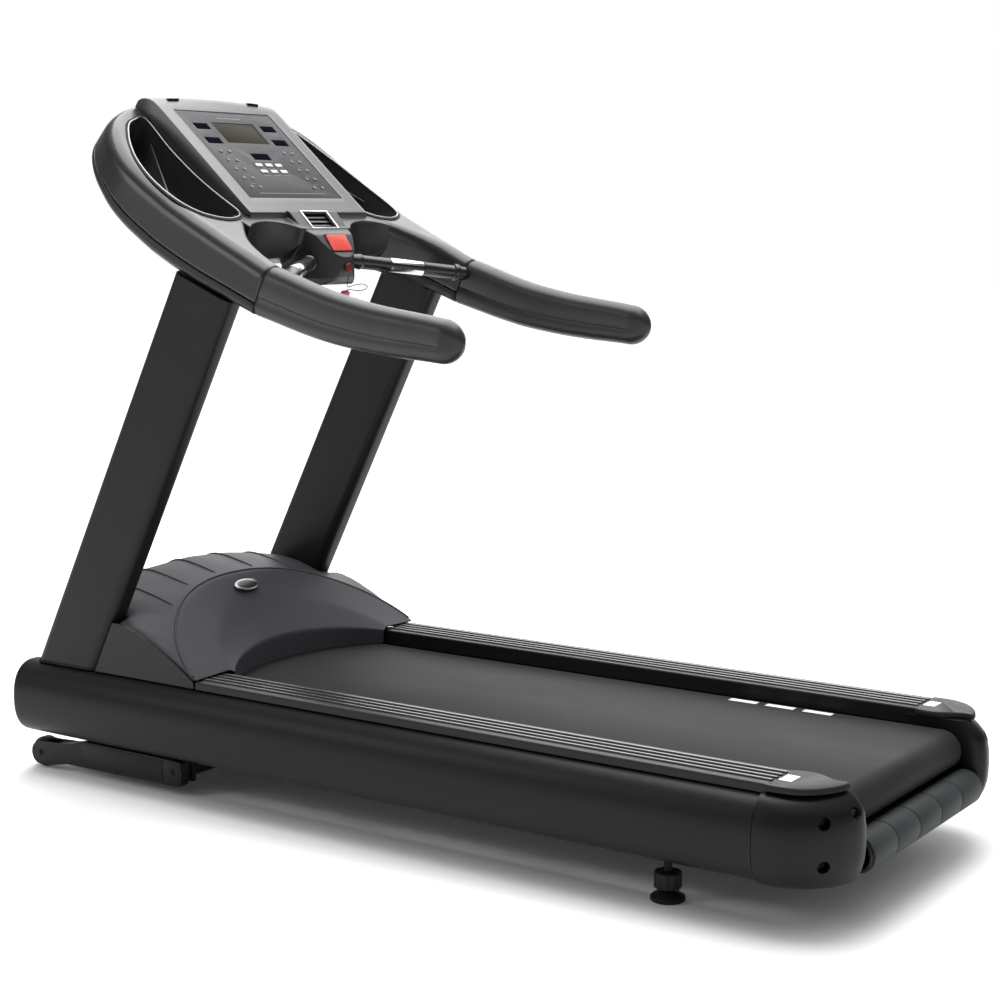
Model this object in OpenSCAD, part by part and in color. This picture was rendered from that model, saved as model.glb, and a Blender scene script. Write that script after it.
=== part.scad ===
// Treadmill: two D-section side beams, sloping uprights and a C-shaped console ring.
// Millimetres, +Z up, +Y towards the console, floor at z = 0, X = 0 is the plane of symmetry.

/* [Running deck] */
// Height of the foot rail surface above the floor
rail_top = 294; // [270:1:310]
// Inner edge of a foot rail, measured from the middle
rail_in = 300; // [285:1:310]
// Outer edge of a foot rail, measured from the middle
rail_out = 413; // [400:1:420]
// Width of the running belt
belt_w = 560; // [500:5:570]
// Thickness of the running belt
belt_t = 3; // [2:0.5:4]
// Thickness of the deck board
deck_t = 20; // [18:1:25]
// Outside radius of both rollers
roller_r = 40; // [35:1:42]

/* [Side beams] */
// Widest point of a side beam, measured from the middle
beam_out = 455; // [445:1:465]
// Height of a side beam
beam_h = 180; // [170:1:190]
// Wall of a side beam
beam_wall = 5; // [3:0.5:8]

/* [Uprights] */
// Lean of the uprights from the vertical
lean = 27; // [24:0.5:30]
// Depth of an upright across its lean
upright_d = 176; // [150:1:180]
// Width of an upright
upright_w = 60; // [50:1:62]

/* [Console] */
// Incline of the console face
face_a = 41.5; // [38:0.5:45]
// Half width of the console housing
box_w = 216; // [205:1:216]
// Radius of the hand pulse bars
pulse_r = 17; // [14:0.5:18]

/* [Lift] */
// Radius of the front wheels
wheel_r = 37; // [30:1:38]
// Radius of the levelling foot pads
foot_r = 36; // [28:1:38]

/* [Hidden] */
$fn = 48;
y_shift = 55;
px = 1;
beam_x = beam_out - 70;
beam_z = 186;
rear_y = -1070;
front_y = 760;
roller_z = 217;
pivot = [570, 56];
axle = [1018, 37];

zt_tab = [[-300, 1140], [-237, 1150], [-134, 1162], [9, 1185], [120, 1215], [218, 1248], [341, 1303], [440, 1352],
          [520, 1394], [600, 1444], [670, 1497], [710, 1532], [760, 1580], [800, 1616], [840, 1650]];
function zt(y) = lookup(y, zt_tab);

// ---- helpers ----
module place() translate([0, y_shift, 0]) children();
module both() { children(); mirror([1, 0, 0]) children(); }
module xext(x0, x1) translate([x0, 0, 0]) rotate([90, 0, 90]) linear_extrude(x1 - x0) children();
module yext(y0, y1) translate([0, y1, 0]) rotate([90, 0, 0]) linear_extrude(y1 - y0) children();
module cylx(r, x0, x1, y, z) translate([x0, y, z]) rotate([0, 90, 0]) cylinder(r = r, h = x1 - x0);
module block(x0, x1, y0, y1, z0, z1) translate([x0, y0, z0]) cube([x1 - x0, y1 - y0, z1 - z0]);
function sg(v) = v < 0 ? -1 : 1;
function sp(v, e) = sg(v) * pow(abs(v), e);

module loft(S, flip = false) {
  n = len(S[0]);
  m = len(S);
  f = concat(
    [for (i = [0 : m - 2]) for (j = [0 : n - 1]) each
      [[i * n + j, i * n + (j + 1) % n, (i + 1) * n + (j + 1) % n],
       [i * n + j, (i + 1) * n + (j + 1) % n, (i + 1) * n + j]]],
    [[for (j = [n - 1 : -1 : 0]) j]],
    [[for (j = [0 : n - 1]) (m - 1) * n + j]]);
  polyhedron([for (r = S) for (p = r) p], flip ? [for (q = f) [for (k = [len(q) - 1 : -1 : 0]) q[k]]] : f);
}

// closed skin between an outer and an inner grid of m rows and n columns
module skin(A, B) {
  n = len(A[0]);
  m = len(A);
  o = n * m;
  g = [for (i = [0 : m - 2]) for (j = [0 : n - 2]) each
    [[i * n + j, i * n + j + 1, (i + 1) * n + j + 1], [i * n + j, (i + 1) * n + j + 1, (i + 1) * n + j]]];
  b = concat([for (j = [0 : n - 1]) j], [for (i = [1 : m - 1]) i * n + n - 1],
    [for (j = [n - 2 : -1 : 0]) (m - 1) * n + j], [for (i = [m - 2 : -1 : 1]) i * n]);
  k = len(b);
  polyhedron(concat([for (r = A) for (p = r) p], [for (r = B) for (p = r) p]), concat(
    [for (q = g) [q[2], q[1], q[0]]],
    [for (q = g) [q[0] + o, q[1] + o, q[2] + o]],
    [for (i = [0 : k - 1]) [b[i], b[(i + 1) % k], b[(i + 1) % k] + o]],
    [for (i = [0 : k - 1]) [b[i], b[(i + 1) % k] + o, b[i] + o]]));
}

// rounded rectangle: x0..x1 by n0..n1, radius rb below and rt above
function rrect(x0, x1, n0, n1, rb, rt, rt1, k = 4) = let(ru = rt1 == undef ? rt : rt1) concat(
  [for (i = [0 : k]) let(t = 180 + 90 * i / k) [x0 + rb + rb * cos(t), n0 + rb + rb * sin(t)]],
  [for (i = [0 : k]) let(t = 270 + 90 * i / k) [x1 - rb + rb * cos(t), n0 + rb + rb * sin(t)]],
  [for (i = [0 : k]) let(t = 90 * i / k) [x1 - ru + ru * cos(t), n1 - ru + ru * sin(t)]],
  [for (i = [0 : k]) let(t = 90 + 90 * i / k) [x0 + rt + rt * cos(t), n1 - rt + rt * sin(t)]]);
// a section put across the console ring at a station [y, z, angle]
function ring(s, pts) = [for (p = pts) [p[0], s[0] - p[1] * sin(s[2]), s[1] + p[1] * cos(s[2])]];
function mirx(S) = [for (r = S) [for (p = r) [-p[0], p[1], p[2]]]];
module rr2(w, d, r) union() {
  square([w - 2 * r, d], center = true);
  square([w, d - 2 * r], center = true);
  for (i = [-1, 1], j = [-1, 1]) translate([i * (w / 2 - r), j * (d / 2 - r)]) circle(r = r);
}

// ---- deck and frame ----
function dprof(i) = concat(
  [for (t = [-90 : 7.5 : 90]) [beam_x + (70 - i) * sp(cos(t), 1 / 1.2), beam_z + (beam_h / 2 - i) * sp(sin(t), 1 / 1.2)]],
  [[372 + i, beam_z + beam_h / 2 - i], [372 + i, beam_z - beam_h / 2 + i]]);
module side_beam() color([0.17, 0.17, 0.18]) place() difference() {
  yext(-985, 1040) polygon(dprof(0));
  yext(-990, 1034) polygon(dprof(beam_wall));
}
module side_beams() both() side_beam();

module base_frame() color([0.12, 0.12, 0.13]) place() difference() {
  union() {
    both() block(314, 352, -1008, 1012, 150, 236);
    both() block(350, 372, 540, 600, 100, 190);
    both() block(350, 372, -800, -704, 100, 190);
    both() block(350, 372, 900, 1000, 100, 190);
    for (y = [-860, -420, 20, 460]) block(-316, 316, y, y + 40, 190, 226);
    block(-316, 316, 830, 870, 150, 200);
    block(-316, 316, 985, 1012, 100, 200);
    block(-316, 316, 935, 985, 186, 200);
    both() block(340, 352, 544, 596, 30, 152);
    both() block(326, 340, -790, -714, 100, 152);
    both() block(326, 372, -790, -714, 100, 118);
    block(-150, 190, 860, 950, 200, 222);
  }
  both() block(317, 349, -1005, 1009, 153, 233);
  for (y = [-860, -420, 20, 460]) block(-313, 313, y + 3, y + 37, 193, 223);
  block(-313, 313, 833, 867, 153, 197);
  block(-313, 313, 988, 1009, 103, 186);
  both() cylx(20.06, 330, 360, pivot[0], pivot[1]);
  block(285, 312, 829, 871, 176, 201);
  both() cylx(12.04, 300, 360, rear_y, roller_z);
  both() translate([355, -752, 90]) cylinder(r = 8.05, h = 40);
  both() block(300, 360, -1020, -990, 225, 240);
}
module front_cover() color([0.13, 0.13, 0.14]) place() difference() {
  union() {
    block(-371, 371, 1016, 1030, 98, 275);
    block(-290, -150, 1012.2, 1016, 120, 180);
  }
  block(-262, -234, 1005, 1035, 139, 162);
  block(-196, -174, 1005, 1035, 138, 163);
  cylx(3.05, -199, -171, 1024, 150.5);
}
module deck() color([0.35, 0.24, 0.15]) place() block(-290, 290, -1010, 700, 256 - deck_t, 256);
module deck_cushions() color([0.08, 0.08, 0.08]) place()
  for (y = [-840, -400, 40, 480], s = [-1, 1]) translate([s * 240, y, 226]) cylinder(r = 18, h = 256 - deck_t - 226);
module running_belt() color([0.09, 0.09, 0.1]) place() difference() {
  xext(-belt_w / 2, belt_w / 2) union() {
    translate([rear_y, roller_z]) circle(r = roller_r + 0.4 + belt_t);
    translate([front_y, roller_z]) circle(r = roller_r + 0.4 + belt_t);
    translate([rear_y, roller_z - roller_r - 0.4 - belt_t]) square([front_y - rear_y, 2 * (roller_r + 0.4 + belt_t)]);
  }
  xext(-belt_w / 2 - 1, belt_w / 2 + 1) union() {
    translate([rear_y, roller_z]) circle(r = roller_r + 0.4);
    translate([front_y, roller_z]) circle(r = roller_r + 0.4);
    translate([rear_y, roller_z - roller_r - 0.4]) square([front_y - rear_y, 2 * (roller_r + 0.4)]);
  }
}
module roller(y) difference() {
  cylx(roller_r, -284, 284, y, roller_z);
  cylx(roller_r - 5, -276, 276, y, roller_z);
  cylx(12.05, -290, 290, y, roller_z);
}
module front_roller() color([0.6, 0.6, 0.62]) place() roller(front_y);
module rear_roller() color([0.6, 0.6, 0.62]) place() roller(rear_y);
module roller_axles() color([0.5, 0.5, 0.52]) place() {
  cylx(12, -314, 314, front_y, roller_z);
  cylx(12, -350, 350, rear_y, roller_z);
}
module roller_pulley() color([0.55, 0.55, 0.57]) place() difference() {
  union() {
    cylx(60, 288, 308, front_y, roller_z);
    cylx(24, 284, 288, front_y, roller_z);
  }
  cylx(12.05, 280, 312, front_y, roller_z);
  for (a = [0 : 60 : 300]) cylx(9, 280, 312, front_y + 40 * cos(a), roller_z + 40 * sin(a));
}

// ---- drive ----
mot = [905, 296];
module drive_motor() color([0.2, 0.2, 0.22]) place() difference() {
  union() {
    cylx(62, -140, 180, mot[0], mot[1]);
    cylx(50, 180, 192, mot[0], mot[1]);
    for (x = [-110, 120]) block(x, x + 30, 862, 948, 222, 262);
    block(-60, 60, 880, 930, 350, 372);
  }
  cylx(14, -150, 200, mot[0], mot[1]);
}
module motor_rotor() color([0.6, 0.6, 0.6]) place() difference() {
  union() {
    cylx(74, -184, -160, mot[0], mot[1]);
    cylx(28, 288, 308, mot[0], mot[1]);
    cylx(13.95, -161, 290, mot[0], mot[1]);
  }
  for (a = [0 : 60 : 300]) cylx(11, -190, -150, mot[0] + 50 * cos(a), mot[1] + 50 * sin(a));
}
db_d = sqrt(pow(mot[0] - front_y, 2) + pow(mot[1] - roller_z, 2));
db_a = atan2(mot[1] - roller_z, mot[0] - front_y);
db_b = acos((60 - 28) / db_d);
module db_loop(r) polygon(concat(
  [for (i = [0 : 26]) let(t = db_a + db_b + (360 - 2 * db_b) * i / 26) [front_y + (60 + r) * cos(t), roller_z + (60 + r) * sin(t)]],
  [for (i = [0 : 14]) let(t = db_a - db_b + 2 * db_b * i / 14) [mot[0] + (28 + r) * cos(t), mot[1] + (28 + r) * sin(t)]]));
module drive_belt() color([0.07, 0.07, 0.07]) place() xext(290, 306) difference() { db_loop(3.6); db_loop(0.6); }
module control_box() color([0.15, 0.15, 0.17]) place() union() {
  block(-306, -206, 880, 975, 210, 300);
  for (x = [-300 : 15 : -215]) block(x, x + 4, 885, 970, 300, 318);
  block(-306, -206, 880, 975, 200, 210);
}
module power_inlet() color([0.08, 0.08, 0.09]) place() difference() {
  union() {
    block(-261.5, -234.5, 1013, 1030, 139.5, 161.5);
    block(-264, -232, 1030, 1033, 137, 164);
  }
  block(-258.5, -237.5, 1017, 1040, 143, 158);
}
module power_switch() color([0.5, 0.06, 0.06]) place() union() {
  xext(-194, -176) polygon([[1022, 141.5], [1034, 141], [1031, 150.5], [1034, 160], [1022, 159.5]]);
  cylx(3, -198, -172, 1024, 150.5);
}

// ---- top of the deck ----
module foot_rail() color([0.16, 0.16, 0.17]) place() difference() {
  rail_bar();
  block(290, 420, -996, -985.6, 250, 281.2);
}
module rail_bar() yext(-994, 470) polygon(concat(
  [[rail_in, 258], [rail_in + 4, 258], [rail_in + 4, 276.5], [rail_out, 276.5], [rail_out, rail_top - 3], [rail_out - 2, rail_top - 1.5]],
  [for (x = [385, 364, 343, 322]) each [[x + 4, rail_top - 1.5], [x + 3, rail_top + 0.5], [x - 3, rail_top + 0.5], [x - 4, rail_top - 1.5]]],
  [[rail_in + 2, rail_top - 1.5], [rail_in, rail_top - 3]]));
module foot_rails() both() foot_rail();

cap_o = [[290, -986], [455, -986], [455, -1002], [454, -1024], [449, -1048], [439, -1072], [423, -1095],
  [402, -1116], [378, -1135], [353, -1149], [330, -1157], [310, -1157], [297, -1146], [291, -1125], [290, -1090]];
cap_z = [[91, 42], [99, 28], [112, 16], [130, 7], [158, 1], [186, 0], [214, 1], [238, 5], [256, 15], [270, 29], [281, 42]];
function cap_e(z) = let(d = min(1, abs(z - 186) / 95)) 66 * (1 - pow(1 - pow(d, 2.4), 1 / 2.4));
function capring(z) = [for (p = cap_o) [290 + (p[0] - 290) * (1 - cap_e(z) / 165), -986 + (p[1] + 986) * (1 - lookup(z, cap_z) / 172), z]];
module end_cap() color([0.15, 0.15, 0.16]) place() difference() {
  loft([for (q = cap_z) capring(q[0])], true);
  translate([0, 0, 112]) linear_extrude(148) polygon([[302, -980], [430, -980], [428, -1040], [398, -1078], [350, -1102], [310, -1102], [302, -1060]]);
  for (z = [148, 232]) translate([392, -1102, z]) rotate([0, 0, -48]) translate([-10, 0, 0]) rotate([0, 90, 0]) cylinder(r = 8, h = 60);
  translate([336, -1138, 244]) rotate([90, 0, 0]) cylinder(r = 8, h = 60);
  cylx(12.05, 280, 351, rear_y, roller_z);
}
module end_caps() both() end_cap();

lid_o = [[299, -994], [420, -994], [419, -1026], [414, -1052], [402, -1076], [384, -1095], [358, -1112], [338, -1120],
  [322, -1124], [311, -1124], [314, -1108], [311, -1092], [299, -1075], [290, -1052], [287, -1030], [290, -1008]];
module cap_lids() color([0.3, 0.3, 0.31]) place() both() translate([0, 0, 281.3]) linear_extrude(12.7) polygon(lid_o);

module cap_screws() color([0.3, 0.3, 0.31]) place() both() {
  for (z = [148, 232]) translate([392, -1102, z]) rotate([0, 0, -48]) translate([-10, 0, 0]) rotate([0, 90, 0])
    difference() { cylinder(r = 7.4, h = 7); translate([0, 0, 3]) cylinder(r = 3.5, h = 10, $fn = 6); }
  translate([336, -1138, 244]) rotate([90, 0, 0]) difference() { cylinder(r = 7.4, h = 6); translate([0, 0, 2]) cylinder(r = 3.5, h = 10, $fn = 6); }
}
module guard_tube() color([0.14, 0.15, 0.15]) place() difference() {
  cylx(34, -289.6, 289.6, -1125, 143);
  cylx(30, -292, 292, -1125, 143);
}
module guard_sleeves() color([0.18, 0.2, 0.2]) place() for (i = [0 : 4]) difference() {
  cylx(39, -279 + 112 * i, -279 + 112 * i + 110, -1125, 143);
  cylx(34.2, -282 + 112 * i, -275 + 112 * i + 110, -1125, 143);
}

// ---- motor hood ----
hood_t = [0, 5, 10, 15, 20, 25, 30, 35, 40, 45, 50, 56, 62, 68, 74, 80, 85, 90];
hood_tt = concat(hood_t, [for (i = [len(hood_t) - 2 : -1 : 0]) 180 - hood_t[i]]);
side_x = [[0, 407], [25, 407], [35, 406], [40, 400], [48, 351], [56, 350], [62, 338], [68, 296], [74, 226], [80, 142], [90, 0]];
side_y = [[0, 484], [10, 545], [20, 610], [30, 670], [40, 716], [48, 732], [56, 800], [62, 852], [68, 874], [80, 876], [90, 873]];
side_z = [[0, 294], [10, 334], [20, 370], [30, 394], [40, 404], [48, 411], [56, 436], [62, 448], [68, 457], [74, 469], [80, 481], [90, 490]];
base_y = [[0, 494], [10, 560], [20, 620], [30, 680], [40, 728], [48, 745], [56, 860], [62, 960], [68, 1000], [74, 1010], [90, 1013]];
function ft(t) = t > 90 ? 180 - t : t;
function fs(t) = t > 90 ? 1 : -1;
function hood_rows(k) = [
  [for (t = hood_tt) [-285 * cos(t), 463 + 97 * pow(sin(t), 1.7), 266]],
  [for (t = hood_tt) [-286 * cos(t), 461 + 102 * pow(sin(t), 1.8), 296 + 25 * pow(sin(t), 1.8)]],
  [for (t = hood_tt) [-295 * sp(cos(t), 0.93), 463 + 174 * pow(sin(t), 1.72), 300 + 95 * pow(sin(t), 1.72)]],
  [for (t = hood_tt) [-303 * sp(cos(t), 0.93), 464 + 190 * pow(sin(t), 1.68), 303 + 108 * pow(sin(t), 1.68)]],
  [for (t = hood_tt) [-414 * sp(cos(t), 0.91), 466 + 250 * pow(sin(t), 1.29), 299 + 164 * pow(sin(t), 1.29)]],
  [for (t = hood_tt) let(u = ft(t), m = 0.1) [fs(t) * ((1 - m) * 414 * pow(cos(u), 0.91) + m * lookup(u, side_x)),
    (1 - m) * (472 + 254 * pow(sin(t), 1.29)) + m * lookup(u, side_y), (1 - m) * (298 + 167 * pow(sin(t), 1.29)) + m * lookup(u, side_z)]],
  [for (t = hood_tt) let(u = ft(t)) [fs(t) * lookup(u, side_x), lookup(u, side_y), lookup(u, side_z)]],
  [for (t = hood_tt) let(u = ft(t), m = 0.45) [fs(t) * lookup(u, side_x), (1 - m) * lookup(u, side_y) + m * lookup(u, base_y) + 18 * pow(sin(u), 4),
    (1 - m) * lookup(u, side_z) + m * 278 + 30 * pow(sin(u), 4)]],
  [for (t = hood_tt) let(u = ft(t)) [fs(t) * lookup(u, side_x), lookup(u, base_y), 277]]];
function gn(A, i, j) = let(m = len(A) - 1, n = len(A[0]) - 1,
  c = cross(A[i][min(n, j + 1)] - A[i][max(0, j - 1)], A[min(m, i + 1)][j] - A[max(0, i - 1)][j])) c / norm(c);
function inset(A, d) = let(m = len(A) - 1) [for (i = [0 : m]) [for (j = [0 : len(A[0]) - 1])
  let(p = A[i][j] - d * gn(A, i, j)) i == 0 || i == m ? [p[0], p[1], A[i][j][2]] : p]];
module motor_hood() color([0.25, 0.25, 0.26]) place() skin(hood_rows(0), inset(hood_rows(0), 3.5));
module hood_panels() color([0.2, 0.2, 0.21]) place() both() xext(408, 413) polygon([[476, 277], [478, 291.6], [506, 310],
  [585, 355], [640, 381], [667, 391], [700, 400], [720, 402], [735, 401], [797, 277]]);
module hood_badge() color([0.08, 0.08, 0.09]) place() translate([0, 676, 434]) rotate([32, 0, 0])
  resize([84, 40, 6]) cylinder(r = 20, h = 6, $fn = 40);

// ---- uprights ----
up_y = 902;
up_cut = [[260, 1132], [284, 1142], [321, 1156], [365, 1174], [408, 1191], [445, 1205], [482, 1222], [509, 1235], [526, 1243],
  [560, 1262], [600, 1286], [640, 1316], [640, 1600], [260, 1600]];
module upright() color([0.18, 0.18, 0.19]) place() difference() {
  translate([383, up_y, 276]) rotate([lean, 0, 0]) translate([0, 0, -60]) linear_extrude(1180) difference() {
    rr2(upright_w, upright_d, 20);
    rr2(upright_w - 8, upright_d - 8, 16);
  }
  block(300, 480, 700, 1100, 100, 276.4);
  xext(300, 480) polygon(up_cut);
}
module uprights() both() upright();

// ---- console ring ----
arm_st = [[236, 1251, 24, 347, 411, 118], [270, 1267, 25, 344, 411.5, 120], [310, 1287, 26, 336, 412, 123],
  [350, 1306, 26.5, 318, 412, 126], [385, 1323, 27, 292, 412, 129], [420, 1341, 27.5, 258, 412, 131],
  [446, 1354, 28, 230, 412, 132], [462, 1362, 28.5, 224, 412, 132]];
mid_st = [[455, 1359, 28.5, 412, 132], [490, 1377, 29, 412, 132], [520, 1393, 30, 412, 132], [560, 1418, 32, 412, 131],
  [600, 1444, 34, 412, 129], [640, 1473, 36.5, 411, 124], [670, 1497, 38, 406, 118], [695, 1519, 40, 398, 114],
  [715, 1537, 41, 388, 111], [735, 1556, 42, 374, 108], [752, 1572, 43, 357, 106], [768, 1587, 43, 336, 104],
  [782, 1600, 43, 309, 102], [794, 1611, 43, 276, 100], [803, 1619, 43, 236, 98], [810, 1625, 43, 190, 95], [815, 1629, 43, 140, 92]];
part_f = 0.75;
function up_sec(x0, x1, h, r, i) = rrect(x0 + i, x1 - i, -part_f * h - (i > 0 ? 6 : 0), -i, 2, r - i, x0 > 0 ? r + 8 - i : r - i);
function lo_sec(x0, x1, h, r, i) = rrect(x0 + i, x1 - i, -h + i, -part_f * h - 0.8 + (i > 0 ? 6 : 0), r - i, 2);
function arm_up(i) = [for (s = arm_st) ring(s, up_sec(s[3], s[4], s[5], 27, i))];
function arm_lo(i) = [for (s = arm_st) ring(s, lo_sec(s[3], s[4], s[5], 22, i))];
function mid_up(i) = [for (s = mid_st) ring(s, up_sec(-s[3], s[3], s[4], 27, i))];
function mid_lo(i) = [for (s = mid_st) ring(s, lo_sec(-s[3], s[3], s[4], 22, i))];
function cut_ends(S) = [for (k = [1 : len(S) - 2]) S[k]];

box_p = [[449, 1352], [449, 1367], [718, 1604], [742, 1626], [760, 1636], [782, 1639], [802, 1632], [822, 1598],
  [829, 1566], [790, 1510], [724, 1444], [650, 1380], [575, 1334], [520, 1330]];
box_c = [[430, 1270], [430, 1420], [700, 1660], [800, 1680], [826, 1640], [826, 1600], [831, 1564], [800, 1508],
  [740, 1444], [660, 1372], [580, 1322], [520, 1285]];
bin_a = 36;
bin_o = [[226, 768], [262, 762], [298, 750], [330, 718], [352, 690], [370, 655], [383, 605], [387, 550], [382, 505],
  [366, 470], [338, 450], [300, 441], [262, 448], [238, 464], [226, 490]];
function bloc(p) = let(z = zt(p[1])) [p[0], (p[1] - 600) * cos(bin_a) + (z - 1444) * sin(bin_a)];
function bgrow(g) = let(c = [305, 600]) [for (p = bin_o) let(d = [p[0] - c[0], p[1] - c[1]]) bloc([p[0] + g * sg(d[0]) * min(1, abs(d[0]) / 40), p[1] + g * 1.3 * sg(d[1]) * min(1, abs(d[1]) / 90)])];
module binf() translate([0, 600, 1444]) rotate([bin_a, 0, 0]) children();
module bin_prism(g, z0, z1) binf() translate([0, 0, z0]) linear_extrude(z1 - z0) polygon(bgrow(g));
function band(d0, d1) = concat([for (y = [420 : 20 : 800]) [y, zt(y) + d0]], [for (y = [800 : -20 : 420]) [y, zt(y) + d1]]);

module pod_cut() block(-89, 89, 420, 531, 1180, 1420);
module console_upper() color([0.2, 0.2, 0.21]) place() difference() {
  union() {
    loft(mid_up(0));
    loft(arm_up(0));
    loft(mirx(arm_up(0)), true);
  }
  both() bin_prism(0.6, -84, 80);
  xext(-box_w - 0.4, box_w + 0.4) polygon(box_c);
  pod_cut();
  loft(cut_ends(mid_up(5)));
  loft(cut_ends(arm_up(5)));
  loft(mirx(cut_ends(arm_up(5))), true);
  both() bar_socket();
}
module console_lower() color([0.17, 0.17, 0.18]) place() difference() {
  union() {
    loft(mid_lo(0));
    loft(arm_lo(0));
    loft(mirx(arm_lo(0)), true);
  }
  pod_cut();
  loft(cut_ends(mid_lo(5)));
  loft(cut_ends(arm_lo(5)));
  loft(mirx(cut_ends(arm_lo(5))), true);
}
module bin_liners() color([0.06, 0.06, 0.07]) place() both() difference() {
  intersection() {
    bin_prism(0, -82, 60);
    xext(200, 400) polygon(band(-200, -1));
  }
  difference() {
    bin_prism(-3, -78, 90);
    binf() translate([0, 0, -90]) linear_extrude(70) polygon([[360, -64], [356.5, -66], [220, 176], [223.5, 178]]);
  }
}
module bin_rims() color([0.75, 0.75, 0.77]) place() both() difference() {
  intersection() {
    bin_prism(0, -60, 90);
    xext(200, 400) polygon(band(-0.6, 3));
  }
  bin_prism(-4, -90, 120);
}
module console_box() color([0.22, 0.22, 0.23]) place() difference() {
  xext(-box_w, box_w) polygon(box_p);
  facef() block(-171, 171, -2, 313, -3.4, 40);
  facef() block(-160, 160, 6, 304, -46, 40);
  ventf() block(-50.3, 50.3, -30.3, 30.3, -15, 12);
}
// face frame: x across, y up the incline, z out of the face
module facef() translate([0, 491, 1404]) rotate([face_a, 0, 0]) children();
wins = [[-144, -95, 246, 268], [95, 144, 246, 268], [-146, -95, 194, 216], [95, 146, 194, 216], [-31, 31, 138, 160]];
module face_panel() color([0.3, 0.3, 0.32]) place() facef() difference() {
  block(-170.4, 170.4, -1.4, 312.4, -3.2, 1.2);
  block(-75, 75, 199, 273, -1.4, 5);
  for (x = [-36, 0, 36], w = [94, 117]) block(x - 12.4, x + 12.4, w - 6.4, w + 6.4, -5, 5);
  for (w = wins) block(w[0] - 0.6, w[1] + 0.6, w[2] - 0.6, w[3] + 0.6, -1.4, 5);
}
module display_windows() color([0.12, 0.12, 0.08]) place() facef() {
  block(-74.4, 74.4, 199.6, 272.4, -1.3, 0.2);
  for (w = wins) block(w[0], w[1], w[2], w[3], -1.3, 0.4);
}
module key(i) color([0.7, 0.7, 0.7]) place() facef() translate([36 * ((i - 1) % 3 - 1), i > 3 ? 94 : 117, 0]) block(-12, 12, -6, 6, -2.4, 2.2);
module key_1() key(1);
module key_2() key(2);
module key_3() key(3);
module key_4() key(4);
module key_5() key(5);
module key_6() key(6);
module keypad() color([0.7, 0.7, 0.7]) place() facef() {
  for (s = [-1, 1], x = [100, 130], w = [165, 133, 101, 69, 37]) translate([s * x, w, 1.25]) cylinder(r = 6, h = 0.8);
}

// ---- pod ----
pod_p = [[372, 1199], [356, 1206], [344, 1222], [338, 1240], [338, 1262], [350, 1274], [379, 1316], [400, 1327], [443, 1371], [455, 1374],
  [530, 1374], [530, 1262], [500, 1200], [360, 1197]];
module pod() color([0.19, 0.19, 0.2]) place() {
  cylx(2.95, -71, 71, 474, 1275);
  pod_shell();
}
module pod_shell() difference() {
  intersection() {
    xext(-88, 88) polygon(pod_p);
    yext(300, 560) polygon([[-88, 1246], [-88, 1400], [88, 1400], [88, 1246], [80, 1222], [58, 1196], [-58, 1196], [-80, 1222]]);
    translate([0, 0, 1150]) linear_extrude(260) union() {
      polygon([for (t = [180 : 7.5 : 360]) [88 * sp(cos(t), 0.9), 432 + 96 * sp(sin(t), 0.9)]]);
      translate([-88, 431]) square([176, 99]);
    }
  }
  block(-70, 70, 420, 526, 1215, 1345);
  xext(-box_w, box_w) polygon([[448.6, 1351], [448.6, 1450], [560, 1450], [560, 1325], [520, 1328.6]]);
  ventf() block(-46, 46, -27, 27, -30, 30);
  ventf() block(-50.3, 50.3, -30.3, 30.3, 0.3, 12);
  stopf() block(-36.4, 36.4, -23.4, 23.4, -16, 30);
  translate([0, 352, 1238]) rotate([90, 0, 0]) cylinder(r = 9.1, h = 30);
  both() translate([84, 388, 1250]) rotate([0, 0, -30]) rotate([0, 98, 0]) translate([0, 0, -10]) cylinder(r = pulse_r + 0.3, h = 60);
  both() barf() translate([0, 0, -1]) cylinder(r = pulse_r + 0.25, h = 60);
  both() barf() translate([0, 0, 13.8]) cylinder(r = pulse_r + 2.25, h = 40);
}
module ventf() translate([0, 423, 1349.6]) rotate([45.5, 0, 0]) children();
module stopf() translate([0, 365, 1295.5]) rotate([55.4, 0, 0]) children();
module vent_frame() color([0.78, 0.78, 0.8]) place() ventf() difference() {
  union() {
    block(-45.6, 45.6, -26.6, 26.6, -14, 0.4);
    block(-50, 50, -30, 30, 0.4, 3);
  }
  block(-38, 38, -21, 21, -20, 10);
  for (i = [-1, 0, 1]) cylx(1.56, -42, 42, i * 13.5, -5);
}
module louver(i) color([0.06, 0.06, 0.06]) place() ventf() union() {
  translate([0, i * 13.5, -5]) rotate([-20, 0, 0]) block(-37.2, 37.2, -5.6, 5.6, -1, 1);
  cylx(1.5, -41, 41, i * 13.5, -5);
}
module louver_1() louver(-1);
module louver_2() louver(0);
module louver_3() louver(1);
module fan_wheel() color([0.1, 0.1, 0.11]) place() difference() {
  union() {
    cylx(12, -30, 30, 474, 1275);
    cylx(38, -2, 2, 474, 1275);
    for (a = [0 : 30 : 330]) translate([0, 474, 1275]) rotate([a, 0, 0]) block(-30, 30, 30, 38, -1, 1);
    for (x = [-30, 27]) difference() { cylx(38, x, x + 3, 474, 1275); cylx(31, x - 1, x + 4, 474, 1275); }
  }
  cylx(3, -40, 40, 474, 1275);
}
module stop_button() color([0.75, 0.12, 0.1]) place() stopf() union() {
  block(-35.6, 35.6, -22.6, 22.6, -10, 2.5);
  xext(-35.6, 35.6) polygon([[-22.6, 2.5], [22.6, 2.5], [21, 5], [-16, 8], [-21, 6]]);
}
module safety_key() color([0.7, 0.15, 0.15]) place() union() {
  translate([0, 345, 1238]) rotate([90, 0, 0]) cylinder(r = 9, h = 9);
  translate([0, 336.5, 1238]) rotate([90, 0, 0]) cylinder(r = 13, h = 5);
  translate([0, 334, 1222]) cylinder(r = 2.2, h = 5);
}

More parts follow.
